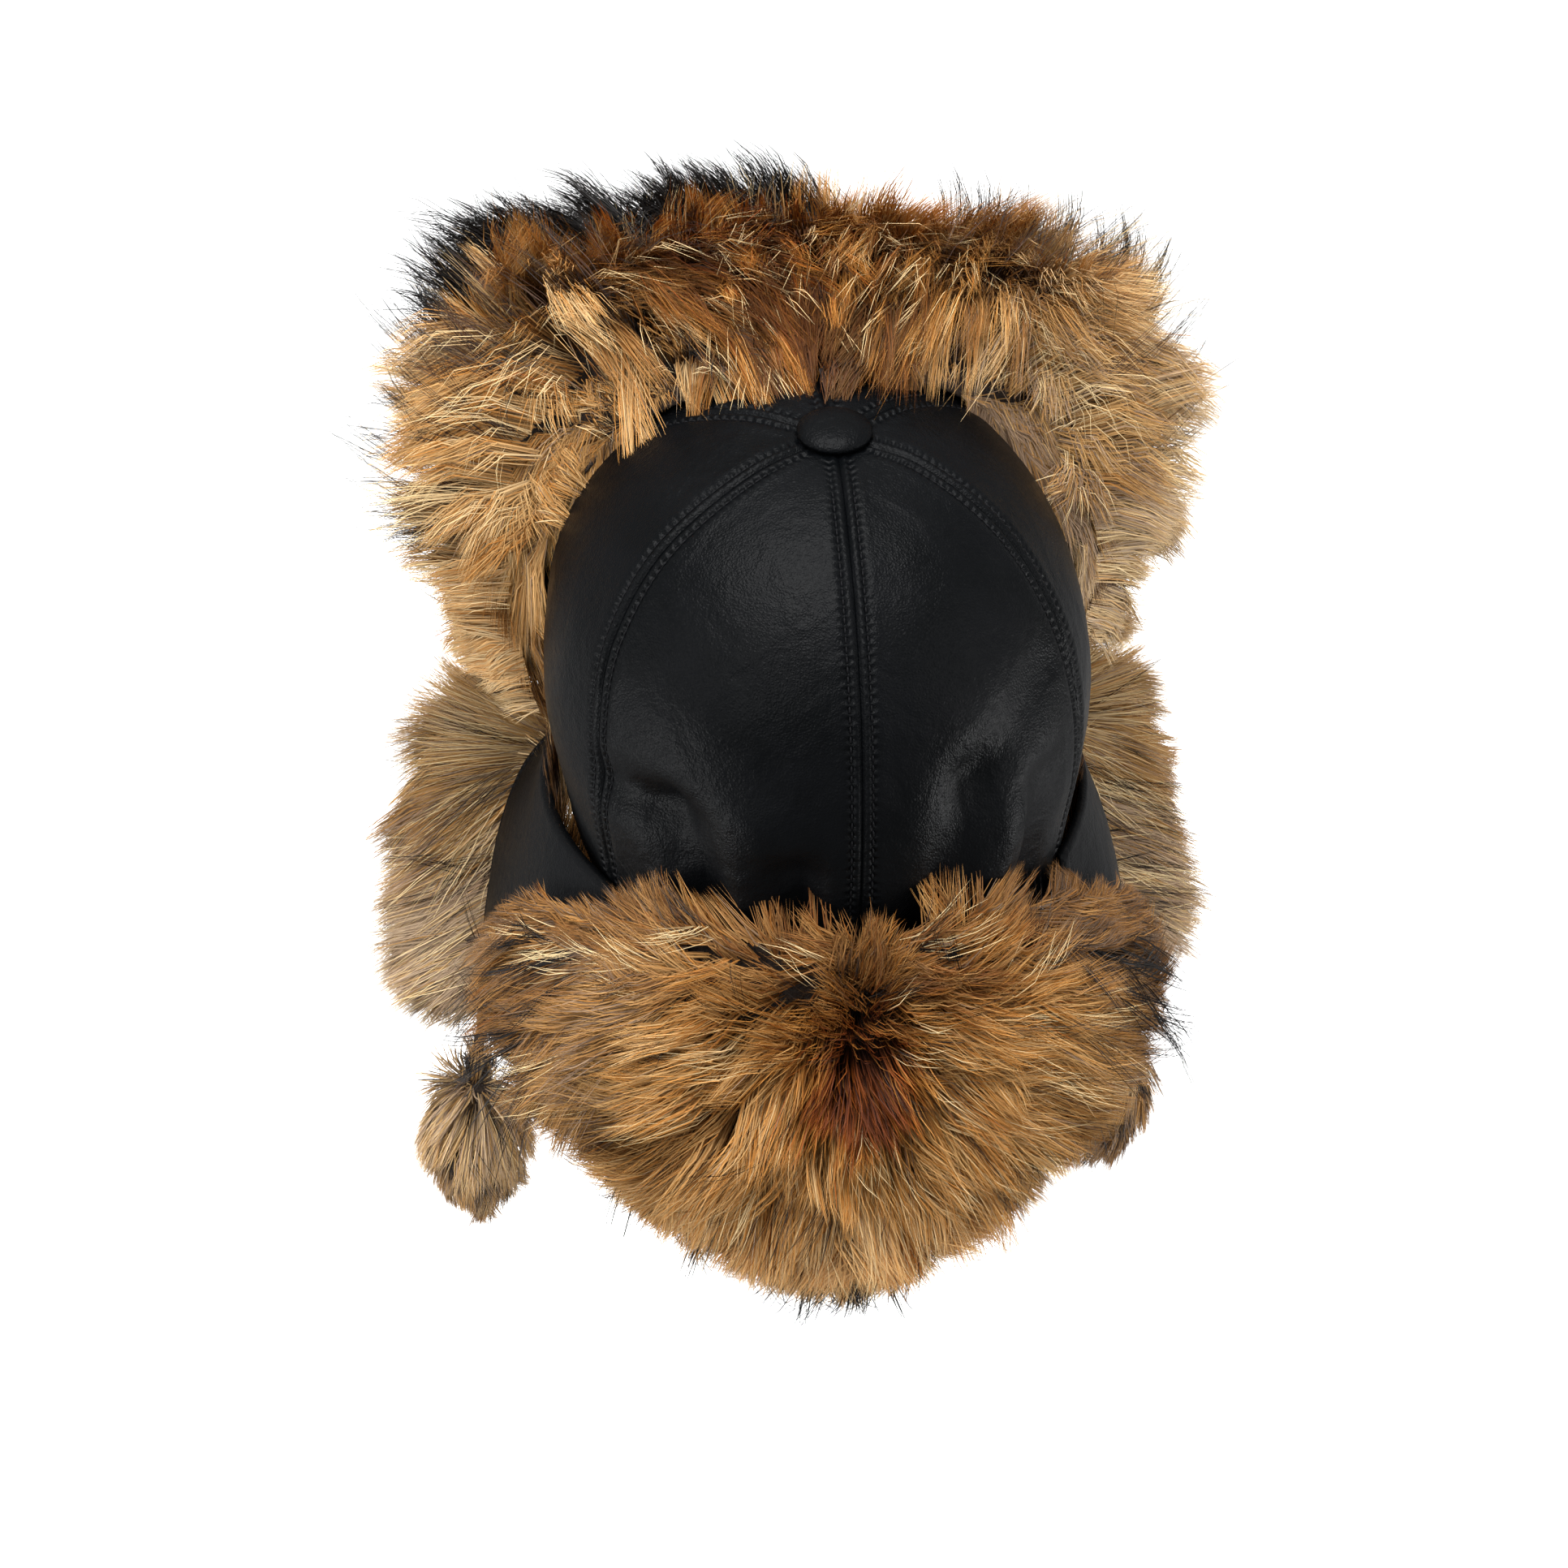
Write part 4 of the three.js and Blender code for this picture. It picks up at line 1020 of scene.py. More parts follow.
GUARD_COLOUR = (1.6, 1.2)  # under the black of a guard hair
print("styles:", len(WOOLLY), "numbers each")

# %% [markdown]
# The visor's fur is the deepest. It parts along its ridge: in front of the parting it stands up and
# forward, and behind it whole locks fall back over the crown. At the temples it fans out and down.


# %% Visor fur
PARTING = 0.64
visor_reach = smooth_table(
    "rise reach", (0, 20), (0.3, 26), (0.6, 34), (0.72, 42), (0.86, 40), (1, 24)
)


def visor_outer(degrees, rise):
    depths = visor_depth(rise)
    to_temple = np.sin(np.radians(np.abs(degrees))) ** 2
    depth = mix(depths["front"], depths["temple"], to_temple) * visor_end(np.abs(degrees))["depth"]
    return on_crown(degrees, visor_fall(degrees, rise), LAY + WALL + depth)


def visor_inner(degrees, rise):
    low_enough = rise < VISOR_LEATHER_RISE + VISOR_MARGIN_RISE
    on_leather = low_enough & (np.abs(degrees) < VISOR_LEATHER_END + VISOR_MARGIN_FROM)
    standoff = np.where(on_leather, LAY + WALL + SEAT, LAY)
    return on_crown(degrees, visor_fall(degrees, rise), standoff)


def crested(degrees, rise):
    """Where the black crest stands: along the top on the wearer's left."""
    top_line = 0.57 + 0.07 * ramp(-degrees, 0, 20) * fade(-degrees, 36, 50)
    return ramp(-degrees, -12, 2) * fade(rise, top_line, top_line + 0.11)


def visor_comb(degrees, rise, outer, up_the_fur):
    turn = FRONT_TURN + np.radians(degrees)
    away = np.abs(degrees)
    swept = ramp(degrees, 6, 20)
    ahead = points_of(np.sin(turn) - 0.5 * swept, np.cos(turn) + 0.3 * swept, 0.75 - 0.3 * swept)
    flow = mix(ahead, up_the_fur, ramp(rise, PARTING - 0.14, PARTING + 0.16)[:, None])
    fan = points_of(1.2 * np.sin(turn), 0.35, -0.9)
    over = ramp(rise, 0.8, 0.96)
    at_temple = mix(fan, up_the_fur + 0.3 * fan, over[:, None])
    flow = mix(flow, at_temple, 0.85 * ramp(away, 38, 66)[:, None])
    corner = over * ramp(away, 30, 52)
    reach = mix(visor_reach(rise)["reach"], 38, ramp(away, 62, 74)) * (1 - 0.35 * corner)
    fuller = 1 + 0.45 * ramp(degrees, 0, 14) * fade(degrees, 40, 56) * fade(rise, 0.58, 0.74)
    return flow, reach * fuller * (1 - 0.6 * crested(degrees, rise)) * (1 - 0.22 * ramp(away, 34, 58))


def visor_deep_comb(degrees, rise, outer, up_the_fur):
    """The underfur ends short of the locks that hang over the crown."""
    flow, reach = visor_comb(degrees, rise, outer, up_the_fur)
    return flow, reach * (1 - 0.22 * ramp(rise, 0.7, 0.85))


def visor_warmth(uv):
    """The warm score and the tone of the visor's tufts, and how near they are to its middle."""
    degrees, rise = uv[:, 0], uv[:, 1]
    centre = fade(np.abs(degrees - 4), 22, 62)
    warm = 1.35 + 1.2 * centre - 0.3 * ramp(rise, 0.86, 1) - 0.6 * ramp(degrees, 0, 20)
    parting = bump_at(rise, PARTING + 0.06, 0.06) * centre * fade(degrees, 12, 28)
    # Painted light: the standing hair in front of the parting is made lighter, most on the wearer's right,
    # where the lamps barely reach along it.
    standing = fade(rise, 0.64, 0.8)
    tone = 2.9 - 0.5 * centre - 0.9 * parting + standing * mix(0.5, 1.6, ramp(degrees, -10, 12))
    return warm, tone, centre


def visor_colour(uv, lock, random):
    warm, tone, _ = visor_warmth(uv)
    return warm, tone + 0.3


def visor_deep_colour(uv, lock, random):
    """The underfur is a little darker than the locks above it. Behind the ridge, most of all along the
    middle, it is painted darker still as shade under the hanging locks.
    """
    warm, tone, centre = visor_warmth(uv)
    low = ramp(uv[:, 1], 0.66, 0.8) * fade(np.abs(uv[:, 0]), 44, 64)
    return warm - 0.5 * low, tone - 0.2 - low * (1.3 + 1.1 * centre)


def visor_pale(uv):
    """Painted light: the standing hair's roots are less dark, most on the wearer's right, where the lamps
    barely reach along it. Towards both ends of the visor the roots are paler too.
    """
    standing = fade(uv[:, 1], 0.64, 0.78) * (0.55 + 0.4 * ramp(uv[:, 0], -10, 10))
    return np.maximum(standing, 0.5 * ramp(np.abs(uv[:, 0]), 34, 62))


def visor_fur(low, high, comb=visor_comb, colour=visor_colour, pale=visor_pale):
    """A coat on the visor between two corners, each degrees from the middle and rise."""
    return Fur("fur_gold", (visor_outer, visor_inner), low, high, CROWN_INSIDE, comb, colour, pale)


visor = visor_fur((-VISOR_END, 0), (VISOR_END, 1))
visor_deep = visor_fur((-VISOR_END, 0), (VISOR_END, 1), visor_deep_comb, visor_deep_colour)
visor_ridge = visor_fur((-VISOR_END, 0), (VISOR_END, 0.76))
add_skin("visor_fur_skin", visor, 0.62, (70, 50), "visor_fur")
add_hair("visor_underfur", visor_deep, underfur, 11, WOOLLY, locks=350, lift=0.92, start=0.45)
topfur = dict(locks=160, hairs=11, tuft_size=3.0, width=0.36, start=0.5, cling=0.84, clump=0.86)
add_hair("visor_topfur", visor_ridge, underfur, 14, LOCKS, **topfur)

# %% [markdown]
# Over the brow the hair is shortest, and a dense undercoat covers the skin. Behind the ridge long
# locks hang back over the crown, some golden and some dark between them. Guard hairs with black tips
# grow on the wearer's left, and ones with cream tips all over.


# %% Brow, hanging locks and guard hairs of the visor
brow = visor_fur((-64, 0.02), (64, 0.46))
undercoat = dict(locks=130, tufts=8, hairs=7, lock_size=10, tuft_size=4.0, width=0.6, lift=0.86)
add_hair("visor_brow", brow, underfur, 19, WOOLLY, start=0.2, length=0.8, **undercoat)


def hanging_comb(degrees, rise, outer, up_the_fur):
    """Back over the crown and down with their own weight."""
    aside = 0.6 * np.sin(np.radians(degrees)) * ramp(np.abs(degrees), 10, 50)
    return up_the_fur + points_of(-aside, 0, -0.5), 46 - 8 * ramp(rise, 0.8, 1.0)


def hanging_colour(uv, lock, random):
    warm, tone, centre = visor_warmth(uv)
    golden = (random.random(lock.max() + 1) < 0.45)[lock]
    return warm - 0.2, tone - 0.9 - 0.8 * centre + 1.3 * golden


hanging = visor_fur((-52, 0.66), (52, 0.97), hanging_comb, hanging_colour, 0.0)
long_locks = dict(locks=170, tufts=6, hairs=9, lock_size=5, tuft_size=2.0, width=0.34, lift=0.98)
long_locks |= dict(start=0.5, cling=0.9, clump=0.93, length=1.15, yaw=0.2, uneven=0.4, part=0.08)
add_hair("visor_hanging_locks", hanging, underfur, 18, LOCKS, **long_locks)
visor_left = visor_fur((-VISOR_END, 0), (8, 1))
black = dict(locks=110, tufts=3, width=0.22, lift=1.1)
add_hair("visor_guard_black", visor_left, black_tipped, 12, WISPS, **black)
cream = dict(locks=400, tufts=2, hairs=4, curl=0.7, stray=0.45)
add_hair("visor_guard_cream", visor, cream_tipped, 13, STRANDS, **cream)

# %% [markdown]
# At both ends of the visor its hair lies back along the crown and covers the edge of the skin. It is
# painted a little darker and greyer as shade beside the crown, and darker still near the foot, where the
# ear flap shades it. Thin black-tipped hairs fan out from the sides.


# %% Temple hair and side wisps of the visor
def temple_comb(degrees, rise, outer, up_the_fur):
    turn = FRONT_TURN + np.radians(degrees)
    return points_of(0.3 * np.sin(turn), 0.85, -1), 34 + 10 * ramp(-degrees, 0, 1)


def temple_colour(uv, lock, random):
    warm, tone, _ = visor_warmth(uv)
    # Painted shade: the temple hair is darker and greyer than the rest of the visor, most near the foot.
    return warm - 0.3, tone - 0.5 - 1.5 * fade(uv[:, 1], 0.3, 0.6)


def wisp_comb(degrees, rise, outer, up_the_fur):
    turn = FRONT_TURN + np.radians(degrees)
    return points_of(1.2 * np.sin(turn), np.cos(turn), mix(-0.5, 0.7, ramp(rise, 0.3, 0.7))), 26


thin = dict(locks=120, lock_size=8, tuft_size=2.2, lift=1.05, length=1.03, start=0.55)
lying = dict(locks=74, hairs=9, lock_size=7, tuft_size=3, lift=0.5, start=0.08)
for hand, side in HANDS.items():
    ends = sorted([-side * VISOR_END, -side * 60])
    temple = visor_fur((ends[0], 0), (ends[1], 1), temple_comb, temple_colour)
    add_hair(f"visor_temple_{hand}", temple, underfur, 21 + side, WOOLLY, **lying)
    ends = sorted([-side * 70, -side * 30])
    wisps = visor_fur((ends[0], 0.2), (ends[1], 0.85), wisp_comb, GUARD_COLOUR, 0.0)
    add_hair(f"visor_wisps_{hand}", wisps, black_tipped, 25 + side, WISPS, **thin)

# %% [markdown]
# Along the top of the visor the coat's longest guard hairs stand up in black spikes. They are
# thickest from the middle to the wearer's left, thin out towards the left end, and only a few stand
# on the right.


# %% Black crest of the visor
def crest_comb(degrees, rise, outer, up_the_fur):
    turn = FRONT_TURN + np.radians(degrees)
    return points_of(np.sin(turn) + 0.4, np.cos(turn), 1.0), 24


CREST = dict(WISPS, tufts=5, hairs=7, lock_size=6, tuft_size=2.4, width=0.38, lift=1.12)
CREST |= dict(length=1.25, start=0.6, yaw=0.32, uneven=0.25)
# Each stretch: its corners, in degrees from the middle and rise, and its locks
CREST_STRETCHES = {
    "left": ((-22, 0.5), (10, 0.67), 130),
    "left_side": ((-40, 0.52), (-22, 0.7), 110),
    "left_end": ((-54, 0.5), (-40, 0.62), 10),
    "right": ((10, 0.46), (60, 0.6), 34),
}
for part, (low, high, locks) in CREST_STRETCHES.items():
    crest = visor_fur(low, high, crest_comb, GUARD_COLOUR, 0.0)
    add_hair(f"visor_crest_{part}", crest, black_guard, 15 + len(part), CREST, locks=locks)

# %% [markdown]
# The nape flap's fur swirls out from one point below the middle seam, where it is short, curly and deep
# orange, to long pale tips all round. It is paler and greyer beside the swirl, painted darker as shade
# where the crown shades it, and painted lighter towards the foot as light from below. A few long black
# hairs hang clear of the foot and of the lower sides.

# %% Nape fur
NAPE_SWIRL = np.array([3, 150, -162])
NAPE_INSIDE = (0, 60, -190)


def swirl_distance(point):
    """Distance from the swirl, which is long upwards and short downwards."""
    away = point - NAPE_SWIRL
    up = away[:, 2] * np.where(away[:, 2] > 0, 0.6, 1.25)
    return np.sqrt(away[:, 0] ** 2 + away[:, 1] ** 2 + up**2)


def nape_turn(share, z):
    row = nape_row(z)
    return share * row["span"] * np.where(share < 0, row["right"], 1)


def nape_outer(share, z):
    rounded = 1 - np.minimum(1, np.abs(share)) ** 3
    depth = LAY + 7 + (nape_row(z)["depth"] - 7) * rounded
    return nape_point(nape_turn(share, z), z, depth)


def nape_inner(share, z):
    return nape_point(nape_turn(share, z), z, LAY)


def nape_comb(share, z, outer, up_the_fur):
    away = outer - NAPE_SWIRL
    low_side = mix(0.1, 0.85, ramp(-z, 150, 225)) * ramp(np.abs(share), 0.3, 0.9)
    short = (1 - low_side) * (1 - 0.2 * ramp(z, -165, -120)) * (1 - 0.3 * ramp(-z, 215, 262))
    reach = mix(10, 32, ramp(np.linalg.norm(away, axis=1), 8, 60)) * short
    return away + np.array([0, 0, -12]), reach


def nape_colour(uv, lock, random):
    distance = swirl_distance(nape_outer(uv[:, 0], uv[:, 1]))
    warm = 3.1 - 1.7 * ramp(distance, 6, 26)
    foot = ramp(-uv[:, 1], 186, 220)
    beside = ramp(np.abs(uv[:, 0]), 0.3, 0.8) * np.where(uv[:, 0] < 0, 1.7, 1.3)
    shaded = ramp(uv[:, 1], -150, -128) * fade(np.abs(uv[:, 0]), 0.3, 0.55)
    # Painted light: the tone is lifted towards the foot, for light from below. The shaded term is painted
    # shade where the crown shades the top.
    tone = 1.2 + 1.3 * ramp(distance, 3, 26) + 1.6 * foot - beside * (1 - 0.6 * foot) - 1.5 * shaded
    pale_sides = 0.7 * ramp(distance, 45, 90) * (1 - foot)
    return warm + 0.5 * foot - pale_sides, tone


def nape_pale(uv):
    distance = swirl_distance(nape_outer(uv[:, 0], uv[:, 1]))
    # Painted light: the roots are also paler towards the foot.
    return 0.7 * ramp(distance, 10, 40) + 0.25 * ramp(-uv[:, 1], 186, 220)


def nape_fur(low, high, comb, colour, pale):
    """A coat on the nape flap between two corners, each a share across and a height."""
    return Fur("fur_gold", (nape_outer, nape_inner), low, high, NAPE_INSIDE, comb, colour, pale)


nape = nape_fur((-1, NAPE_FOOT), (1, NAPE_TOP), nape_comb, nape_colour, nape_pale)
add_skin("nape_fur_skin", nape, 0.4, (60, 50), "nape_fur")
add_hair("nape_underfur", nape, underfur, 41, WOOLLY, locks=320, start=0.3, yaw=0.38)
add_hair("nape_topfur", nape, underfur, 44, LOCKS, locks=112, lock_size=10, start=0.35, yaw=0.42)
add_hair("nape_guard_black", nape, black_tipped, 42, WISPS, locks=120, length=1.5, clump=0.75)
add_hair("nape_guard_cream", nape, cream_tipped, 43, STRANDS, locks=60)


def nape_wisp_comb(share, z, outer, up_the_fur):
    return outer - NAPE_SWIRL + np.array([0, 25, -45]), 34


NAPE_WISPS = dict(WISPS, locks=34, hairs=7, lock_size=7, tuft_size=1.4, width=0.32, length=2.3)
NAPE_WISPS |= dict(lift=1.3, uneven=0.35, clump=0.9)
NAPE_EDGES = {
    "foot": ((-0.7, -266), (0.7, -240)),
    "left": ((0.6, -240), (0.98, -140)),
    "right": ((-0.98, -240), (-0.6, -140)),
}
for part, (low, high) in NAPE_EDGES.items():
    edge_fur = nape_fur(low, high, nape_wisp_comb, GUARD_COLOUR, 0.0)
    add_hair(f"nape_wisps_{part}", edge_fur, black_guard, 45 + len(part), NAPE_WISPS)

# %% [markdown]
# The ear flaps are lined with paler, greyer fur. It lies against the inside of the leather, rolls round
# its front edge and hangs out and down past it. The roll and the lining are two coats over one skin,
# because guard hair of the lining has to stay on the head's side of the leather. Hair painted dark as
# shade closes the slit between the flap and the crown.

# %% Ear-flap fur
ear_fur_row = smooth_table(
    "drop lining roll ahead",
    (2, 11, 23, 24),
    (20, 15, 29, 29),
    (45, 18, 31, 30),
    (72, 19, 28, 30),
    (90, 16, 23, 24),
    (106, 11, 12, 14),
)
# By step across the fur, from 1 to 10: place on the leather, then shares of the roll's reach ahead,
# whether it is past the edge, and shares of its depth outside and inside
EAR_ROLL = {
    "across": [0.06, 0.36, 0.68, 0.96, 1, 1, 1, 1, 1, 1],
    "ahead": [0, 0, 0, 0, 0, 0.05, 0.34, 0.7, 0.94, 1],
    "past": [0, 0, 0, 0, 1, 1, 1, 1, 1, 1],
    "out": [0, 0, 0, 0, 0, 0.72, 1, 0.92, 0.5, 0.1],
    "in": [1, 1, 1, 1, 1, 1, 0.95, 0.7, 0.25, -0.1],
}
EAR_LOW, EAR_HIGH = (1, 2), (10, 106)
EDGE_CLEARANCE = 1.4
TIP_RECESS = 0.35


def ear_surfaces(side):
    """The inside, the outside and the middle of an ear flap's fur, by step and drop."""

    def surface(step, drop, outside):
        row = ear_fur_row(drop)
        behind = -WALL - SEAT - TIP_RECESS * np.maximum(0, drop - FLAP_TIP)
        roll = {name: np.interp(step, np.arange(1, 11), values) for name, values in EAR_ROLL.items()}
        standoff = behind - roll["in"] * row["lining"]
        if outside:
            standoff = behind + roll["out"] * (row["roll"] - behind)
        point = on_flap(side, roll["across"], drop, standoff)
        return point - points_of(0, roll["past"] * EDGE_CLEARANCE + roll["ahead"] * row["ahead"], 0)

    def lined(step, drop):
        return surface(step, drop, False)

    def rolled(step, drop):
        return surface(step, drop, True)

    def middle(step, drop):
        return mix(lined(step, drop), rolled(step, drop), 0.5)

    return lined, rolled, middle


def ear_combs(side):
    """How the fur of one ear flap lies, and how the guard hair of its lining does."""

    def comb(step, drop, outer, down_the_fur):
        down = ramp(drop, 4, 34)
        inward = ramp(step, 4, 2) * (1 - down)
        up, reach = (1.1, 38) if side > 0 else (0.7, 30)
        flow = points_of(side * mix(1.0, -0.4, inward), -0.3 + 0.6 * inward, mix(up, -1.2, down))
        return flow, mix(reach, 26, down)

    def guard_comb(step, drop, outer, down_the_fur):
        return points_of(-0.35 * side, -0.2, mix(0.3, -1.2, ramp(drop, 4, 34))), 22

    return comb, guard_comb


def slit_comb(step, drop, outer, down_the_fur):
    return points_of(0 * step, 0.2, 1), 30


def ear_colour(uv, lock, random):
    # Painted shade: the fur is darker in a hollow on the roll, across the middle of the flap.
    hollow_shade = bump_at(uv[:, 0], 6.2, 1.3) * bump_at(uv[:, 1], 34, 26)
    return 0.8 - 0.6 * ramp(uv[:, 1], 10, 90), 3.5 - 1.4 * hollow_shade


EAR_PALE = 0.4
# Painted shade: the slit hair is dark, standing for the shade between the flap and the crown.
SLIT_SHADE_COLOUR = (0.8, 0.6)
EAR_WOOL = dict(WOOLLY, hairs=10, width=0.5, start=0.2)
EAR_GUARD = dict(STRANDS, locks=100, tuft_size=2.2, width=0.32, start=0.3)
EAR_SLIT = dict(WOOLLY, locks=50, tufts=7, hairs=8, lock_size=8, tuft_size=3, width=0.5)
EAR_SLIT |= dict(lift=0.3, start=0.1)
EAR_WISPS = dict(WISPS, locks=60, tufts=3, lock_size=8, tuft_size=2.4, width=0.24)
EAR_WISPS |= dict(start=0.3, length=1.5, lift=1.05)


def ear_fur(side, surfaces, low, high, comb, colour, pale=0.0):
    """A coat on an ear flap between two corners, each a step across and a drop."""
    core = (side * 96, -60, RIM_Z - 55)
    return Fur("fur_grey", surfaces, low, high, core, comb, colour, pale)


for hand, side in HANDS.items():
    lined, rolled, middle = ear_surfaces(side)
    comb, guard_comb = ear_combs(side)
    steps, drops = np.meshgrid(np.linspace(1, 10, 46), np.linspace(2, 106, 40))
    centre = middle(steps, drops)
    outer = mix(centre, rolled(steps, drops), 0.4)
    points, faces = shell(outer, mix(centre, lined(steps, drops), 0.4))
    add_piece(f"ear_fur_{hand}_skin", points, faces, wool, [f"ear_fur_{hand}"])
    roll = ear_fur(side, (rolled, middle), (4.2, 2), EAR_HIGH, comb, ear_colour, EAR_PALE)
    seed = 61 + 10 * (side > 0)
    add_hair(f"ear_fur_{hand}_roll", roll, underfur, seed, EAR_WOOL, locks=160, lift=1.15)
    add_hair(f"ear_guard_{hand}_roll", roll, cream_tipped, seed + 1, EAR_GUARD)
    lining = ear_fur(side, (lined, middle), EAR_LOW, EAR_HIGH, comb, ear_colour, EAR_PALE)
    add_hair(f"ear_fur_{hand}_lining", lining, underfur, seed + 20, EAR_WOOL, locks=58, lift=1.6)
    lining = ear_fur(side, (lined, middle), (2, 8), EAR_HIGH, guard_comb, ear_colour, EAR_PALE)
    add_hair(f"ear_guard_{hand}_lining", lining, cream_tipped, seed + 21, EAR_GUARD)
    slit = ear_fur(side, (lined, middle), EAR_LOW, (4, 16), slit_comb, SLIT_SHADE_COLOUR)
    add_hair(f"ear_fur_{hand}_top", slit, underfur, 64 + 2 * side, EAR_SLIT)
    add_hair(f"ear_wisps_{hand}", roll, black_tipped, 66 + 2 * side, EAR_WISPS)

# %% [markdown]
# A tassel of grey fur hangs on a short leather tie at the tip of each ear flap. The tie is a limp round
# thong, drawn as a curve from the flap's tip to the tassel, and the tassel's pieces sit at its end. Its
# length is printed.

# %% Ties and tassels
TIE_RADIUS = 2.0
# From the flap's tip down to the tassel
TIE_ROUTES = {
    "left": [(116.5, -33.0, -244.8), (118.0, -32.5, -260.8), (121.5, -32.0, -276.8)],
    "right": [(-116.5, -33.0, -244.8), (-115.3, -32.5, -260.8), (-112.5, -32.0, -276.8)],
}
TASSEL_RADIUS = 17
TASSEL_HEIGHT = 62
TASSEL_SIDES = 28
TASSEL_ROWS = 24
tassel_ring = smooth_table(
    "share width", (0, 0.2), (0.1, 0.62), (0.32, 0.95), (0.55, 1), (0.8, 0.7), (1, 0.25)
)
TASSEL_WOOL = dict(WOOLLY, locks=80, tufts=8, hairs=10, lock_size=6, tuft_size=2.2, width=0.55)
TASSEL_WOOL |= dict(lift=1.2, start=0.3, length=1.0, yaw=0.35, droop=2.0)
TASSEL_GUARD = dict(TASSEL_WOOL, locks=50, tufts=4, hairs=5, width=0.4, lift=1.1, length=1.2)


def tie_path(route, count=17):
    """A smooth curve through the route's three points."""
    start, middle, end = (np.array(p) for p in route)
    pull = 2 * middle - (start + end) / 2
    t = np.linspace(0, 1, count)[:, None]
    return (1 - t) ** 2 * start + 2 * t * (1 - t) * pull + t**2 * end


def add_tassel(hand, top):
    """The tassel's wool core and its hair. Returns its pieces."""
    seed, lean, darker = (53, 0, 0) if hand == "left" else (59, 0.4, 0.9)

    def surface(reach):
        def points_at(turn, share):
            radius = TASSEL_RADIUS * reach * tassel_ring(share)["width"]
            z = top[2] - GAP - TASSEL_HEIGHT * share
            return points_of(top[0] + radius * np.cos(turn), top[1] + radius * np.sin(turn), z)

        return points_at

    def comb(turn, share, outer, down_the_fur):
        down = mix(1.2, -1, ramp(share, 0.02, 0.2))
        return points_of(0.45 * np.cos(turn) + lean, 0.45 * np.sin(turn), down), mix(24, 13, share)

    def colour(uv, lock, random):
        return 0.6, 3.4 - darker - 0.6 * uv[:, 1]

    surfaces = (surface(1.0), surface(0.25))
    inside = (top[0], top[1], top[2] - 30)
    fur = Fur("fur_grey", surfaces, (0, 0.02), (2 * math.pi, 0.98), inside, comb, colour, 0.45)
    share = np.linspace(0, 1, TASSEL_ROWS)[:, None]
    turn = (np.arange(TASSEL_SIDES) * 2 * np.pi / TASSEL_SIDES)[None, :]
    points = surface(0.6)(turn + 0 * share, share + 0 * turn).reshape(-1, 3)
    ring = np.arange(TASSEL_SIDES)
    ends = np.stack([ring, len(points) - TASSEL_SIDES + ring[::-1]])
    faces = [grid_faces(TASSEL_ROWS, TASSEL_SIDES, closed=True), ends]
    return [
        add_piece(f"pompom_{hand}_wool", points, faces, wool, [f"pompom_{hand}"]),
        add_hair(f"pompom_{hand}_fur", fur, underfur, seed, TASSEL_WOOL),
        add_hair(f"pompom_{hand}_guard", fur, black_tipped, seed + 1, TASSEL_GUARD),
    ]


for hand, route in TIE_ROUTES.items():
    line = tie_path(route)
    curve = bpy.data.curves.new(f"tie_{hand}_thong", "CURVE")
    curve.dimensions = "3D"
    curve.bevel_depth = TIE_RADIUS * MM
    curve.bevel_resolution = 4
    curve.use_fill_caps = True
    spline = curve.splines.new("POLY")
    spline.points.add(len(line) - 1)
    for point, place in zip(spline.points, line):
        point.co = (*(place * MM), 1)
    curve.materials.append(flap_leather)
    thong = bpy.data.objects.new(f"tie_{hand}_thong", curve)
    scene.collection.objects.link(thong)
    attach(thong, "root")
    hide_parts(f"tie_{hand}")
    tassel = add_tassel(hand, line[-1])
    length = way_along(line)[-1] * MM
    print(f"tie_{hand}: {1000 * length:.1f} mm long")

# %% [markdown]
# The light is that of a white studio sweep: soft light from all round, a little stronger from above.
# A large softbox overhead draws the sheen on the crown. Weak ones stand on both sides, and two low
# ones lift the fur of the nape flap and the tassels.

# %% Floor and light
FLOOR_Z = -0.75
FLOOR_HALF = 6.0

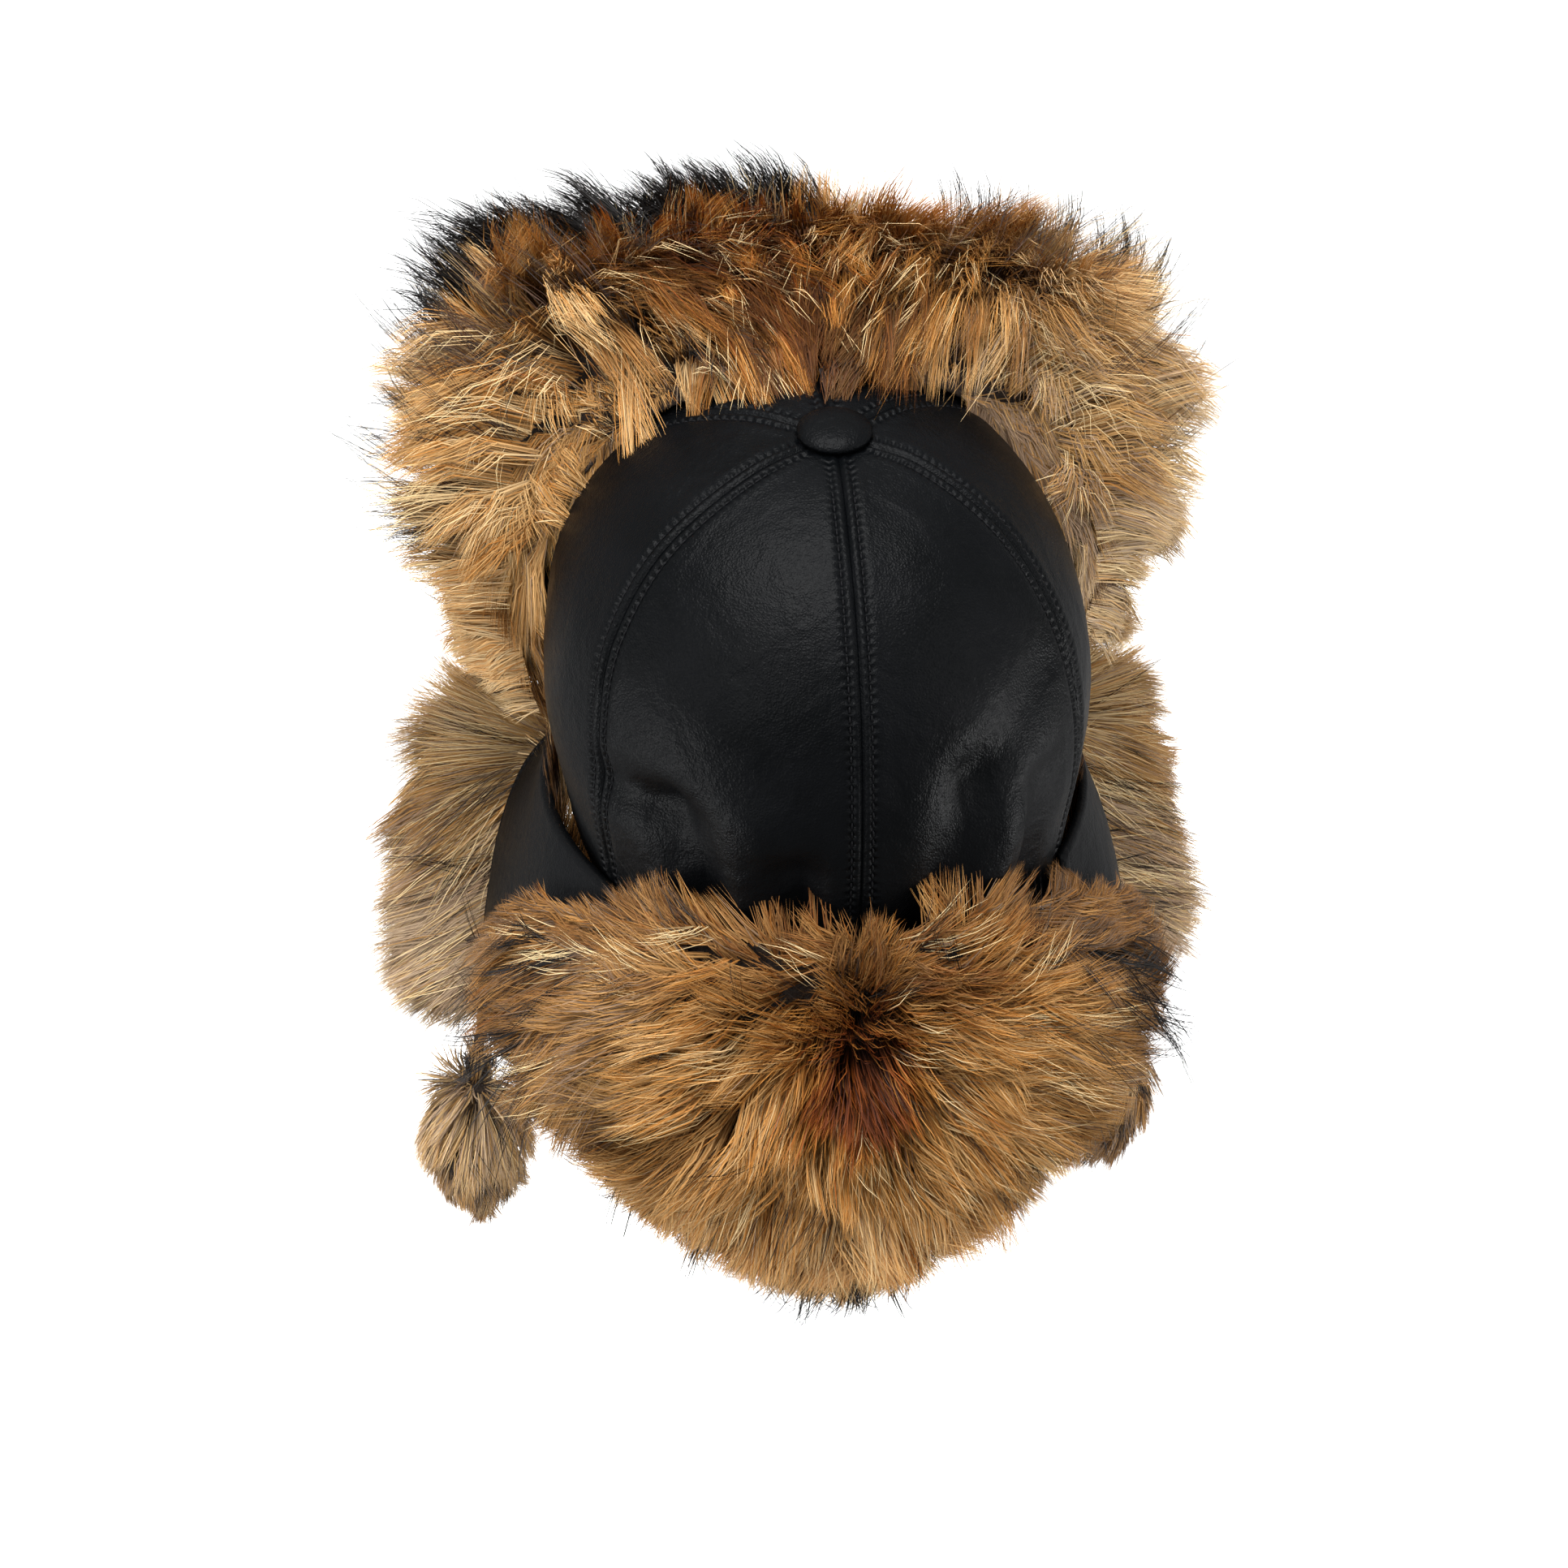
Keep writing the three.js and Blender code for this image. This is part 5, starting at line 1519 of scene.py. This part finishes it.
floor_mesh = bpy.data.meshes.new("floor")
signs = ((-1, -1), (1, -1), (1, 1), (-1, 1))
floor_corners = [(x * FLOOR_HALF, y * FLOOR_HALF, FLOOR_Z) for x, y in signs]
floor_mesh.from_pydata(floor_corners, [], [(0, 1, 2, 3)])
floor = bpy.data.objects.new("floor", floor_mesh)
scene.collection.objects.link(floor)
sweep, tree = new_material("painted_white_sweep")
looks = {"Base Color": linear("#fbfbfb"), "Roughness": 0.95, "Emission Color": linear("#ffffff")}
shader = add(tree, "ShaderNodeBsdfPrincipled", {**looks, "Emission Strength": 0.75})
add(tree, "ShaderNodeOutputMaterial", {"Surface": shader})
floor_mesh.materials.append(sweep)

# The floor is seen but throws no light back up, because the hat is held well above it.
floor.visible_diffuse = False
floor.visible_glossy = False

world = bpy.data.worlds.new("studio")
world.use_nodes = True
tree = world.node_tree
height = add(tree, "ShaderNodeSeparateXYZ", {"Vector": add(tree, "ShaderNodeTexCoord")}).outputs["Z"]
looks = {"Value": height, "From Min": -0.5, "From Max": 0.9, "To Min": 0.52, "To Max": 0.75}
glow = add(tree, "ShaderNodeMapRange", looks)
background = tree.nodes["Background"]
background.inputs["Color"].default_value = linear("#ffffff")
tree.links.new(glow.outputs["Result"], background.inputs["Strength"])
scene.world = world

HAT_MIDDLE = Vector((0, 0, -0.12))
# Each square softbox: its place, its side in metres and its power in watts
SOFTBOXES = {
    "overhead": ((0.15, 0.1, 1.5), 1.1, 50),
    "key": ((1.1, 1.0, 1.0), 0.8, 10),
    "left": ((1.6, 0.1, 0.3), 0.5, 4),
    "side": ((-1.3, 0.7, 0.6), 0.8, 6),
    "low_left": ((1.3, 0.3, -0.55), 0.5, 11),
    "low_right": ((-1.3, 0.3, -0.55), 0.5, 11),
}
for name, (place, size, power) in SOFTBOXES.items():
    light = bpy.data.lights.new(name, "AREA")
    light.size = size
    light.energy = power
    box = bpy.data.objects.new(name, light)
    box.location = place
    box.rotation_euler = (Vector(place) - HAT_MIDDLE).to_track_quat("Z", "Y").to_euler()
    scene.collection.objects.link(box)
print("softboxes:", len(SOFTBOXES))

# %% Count the triangles
print("triangles in all:", sum(triangle_counts.values()))
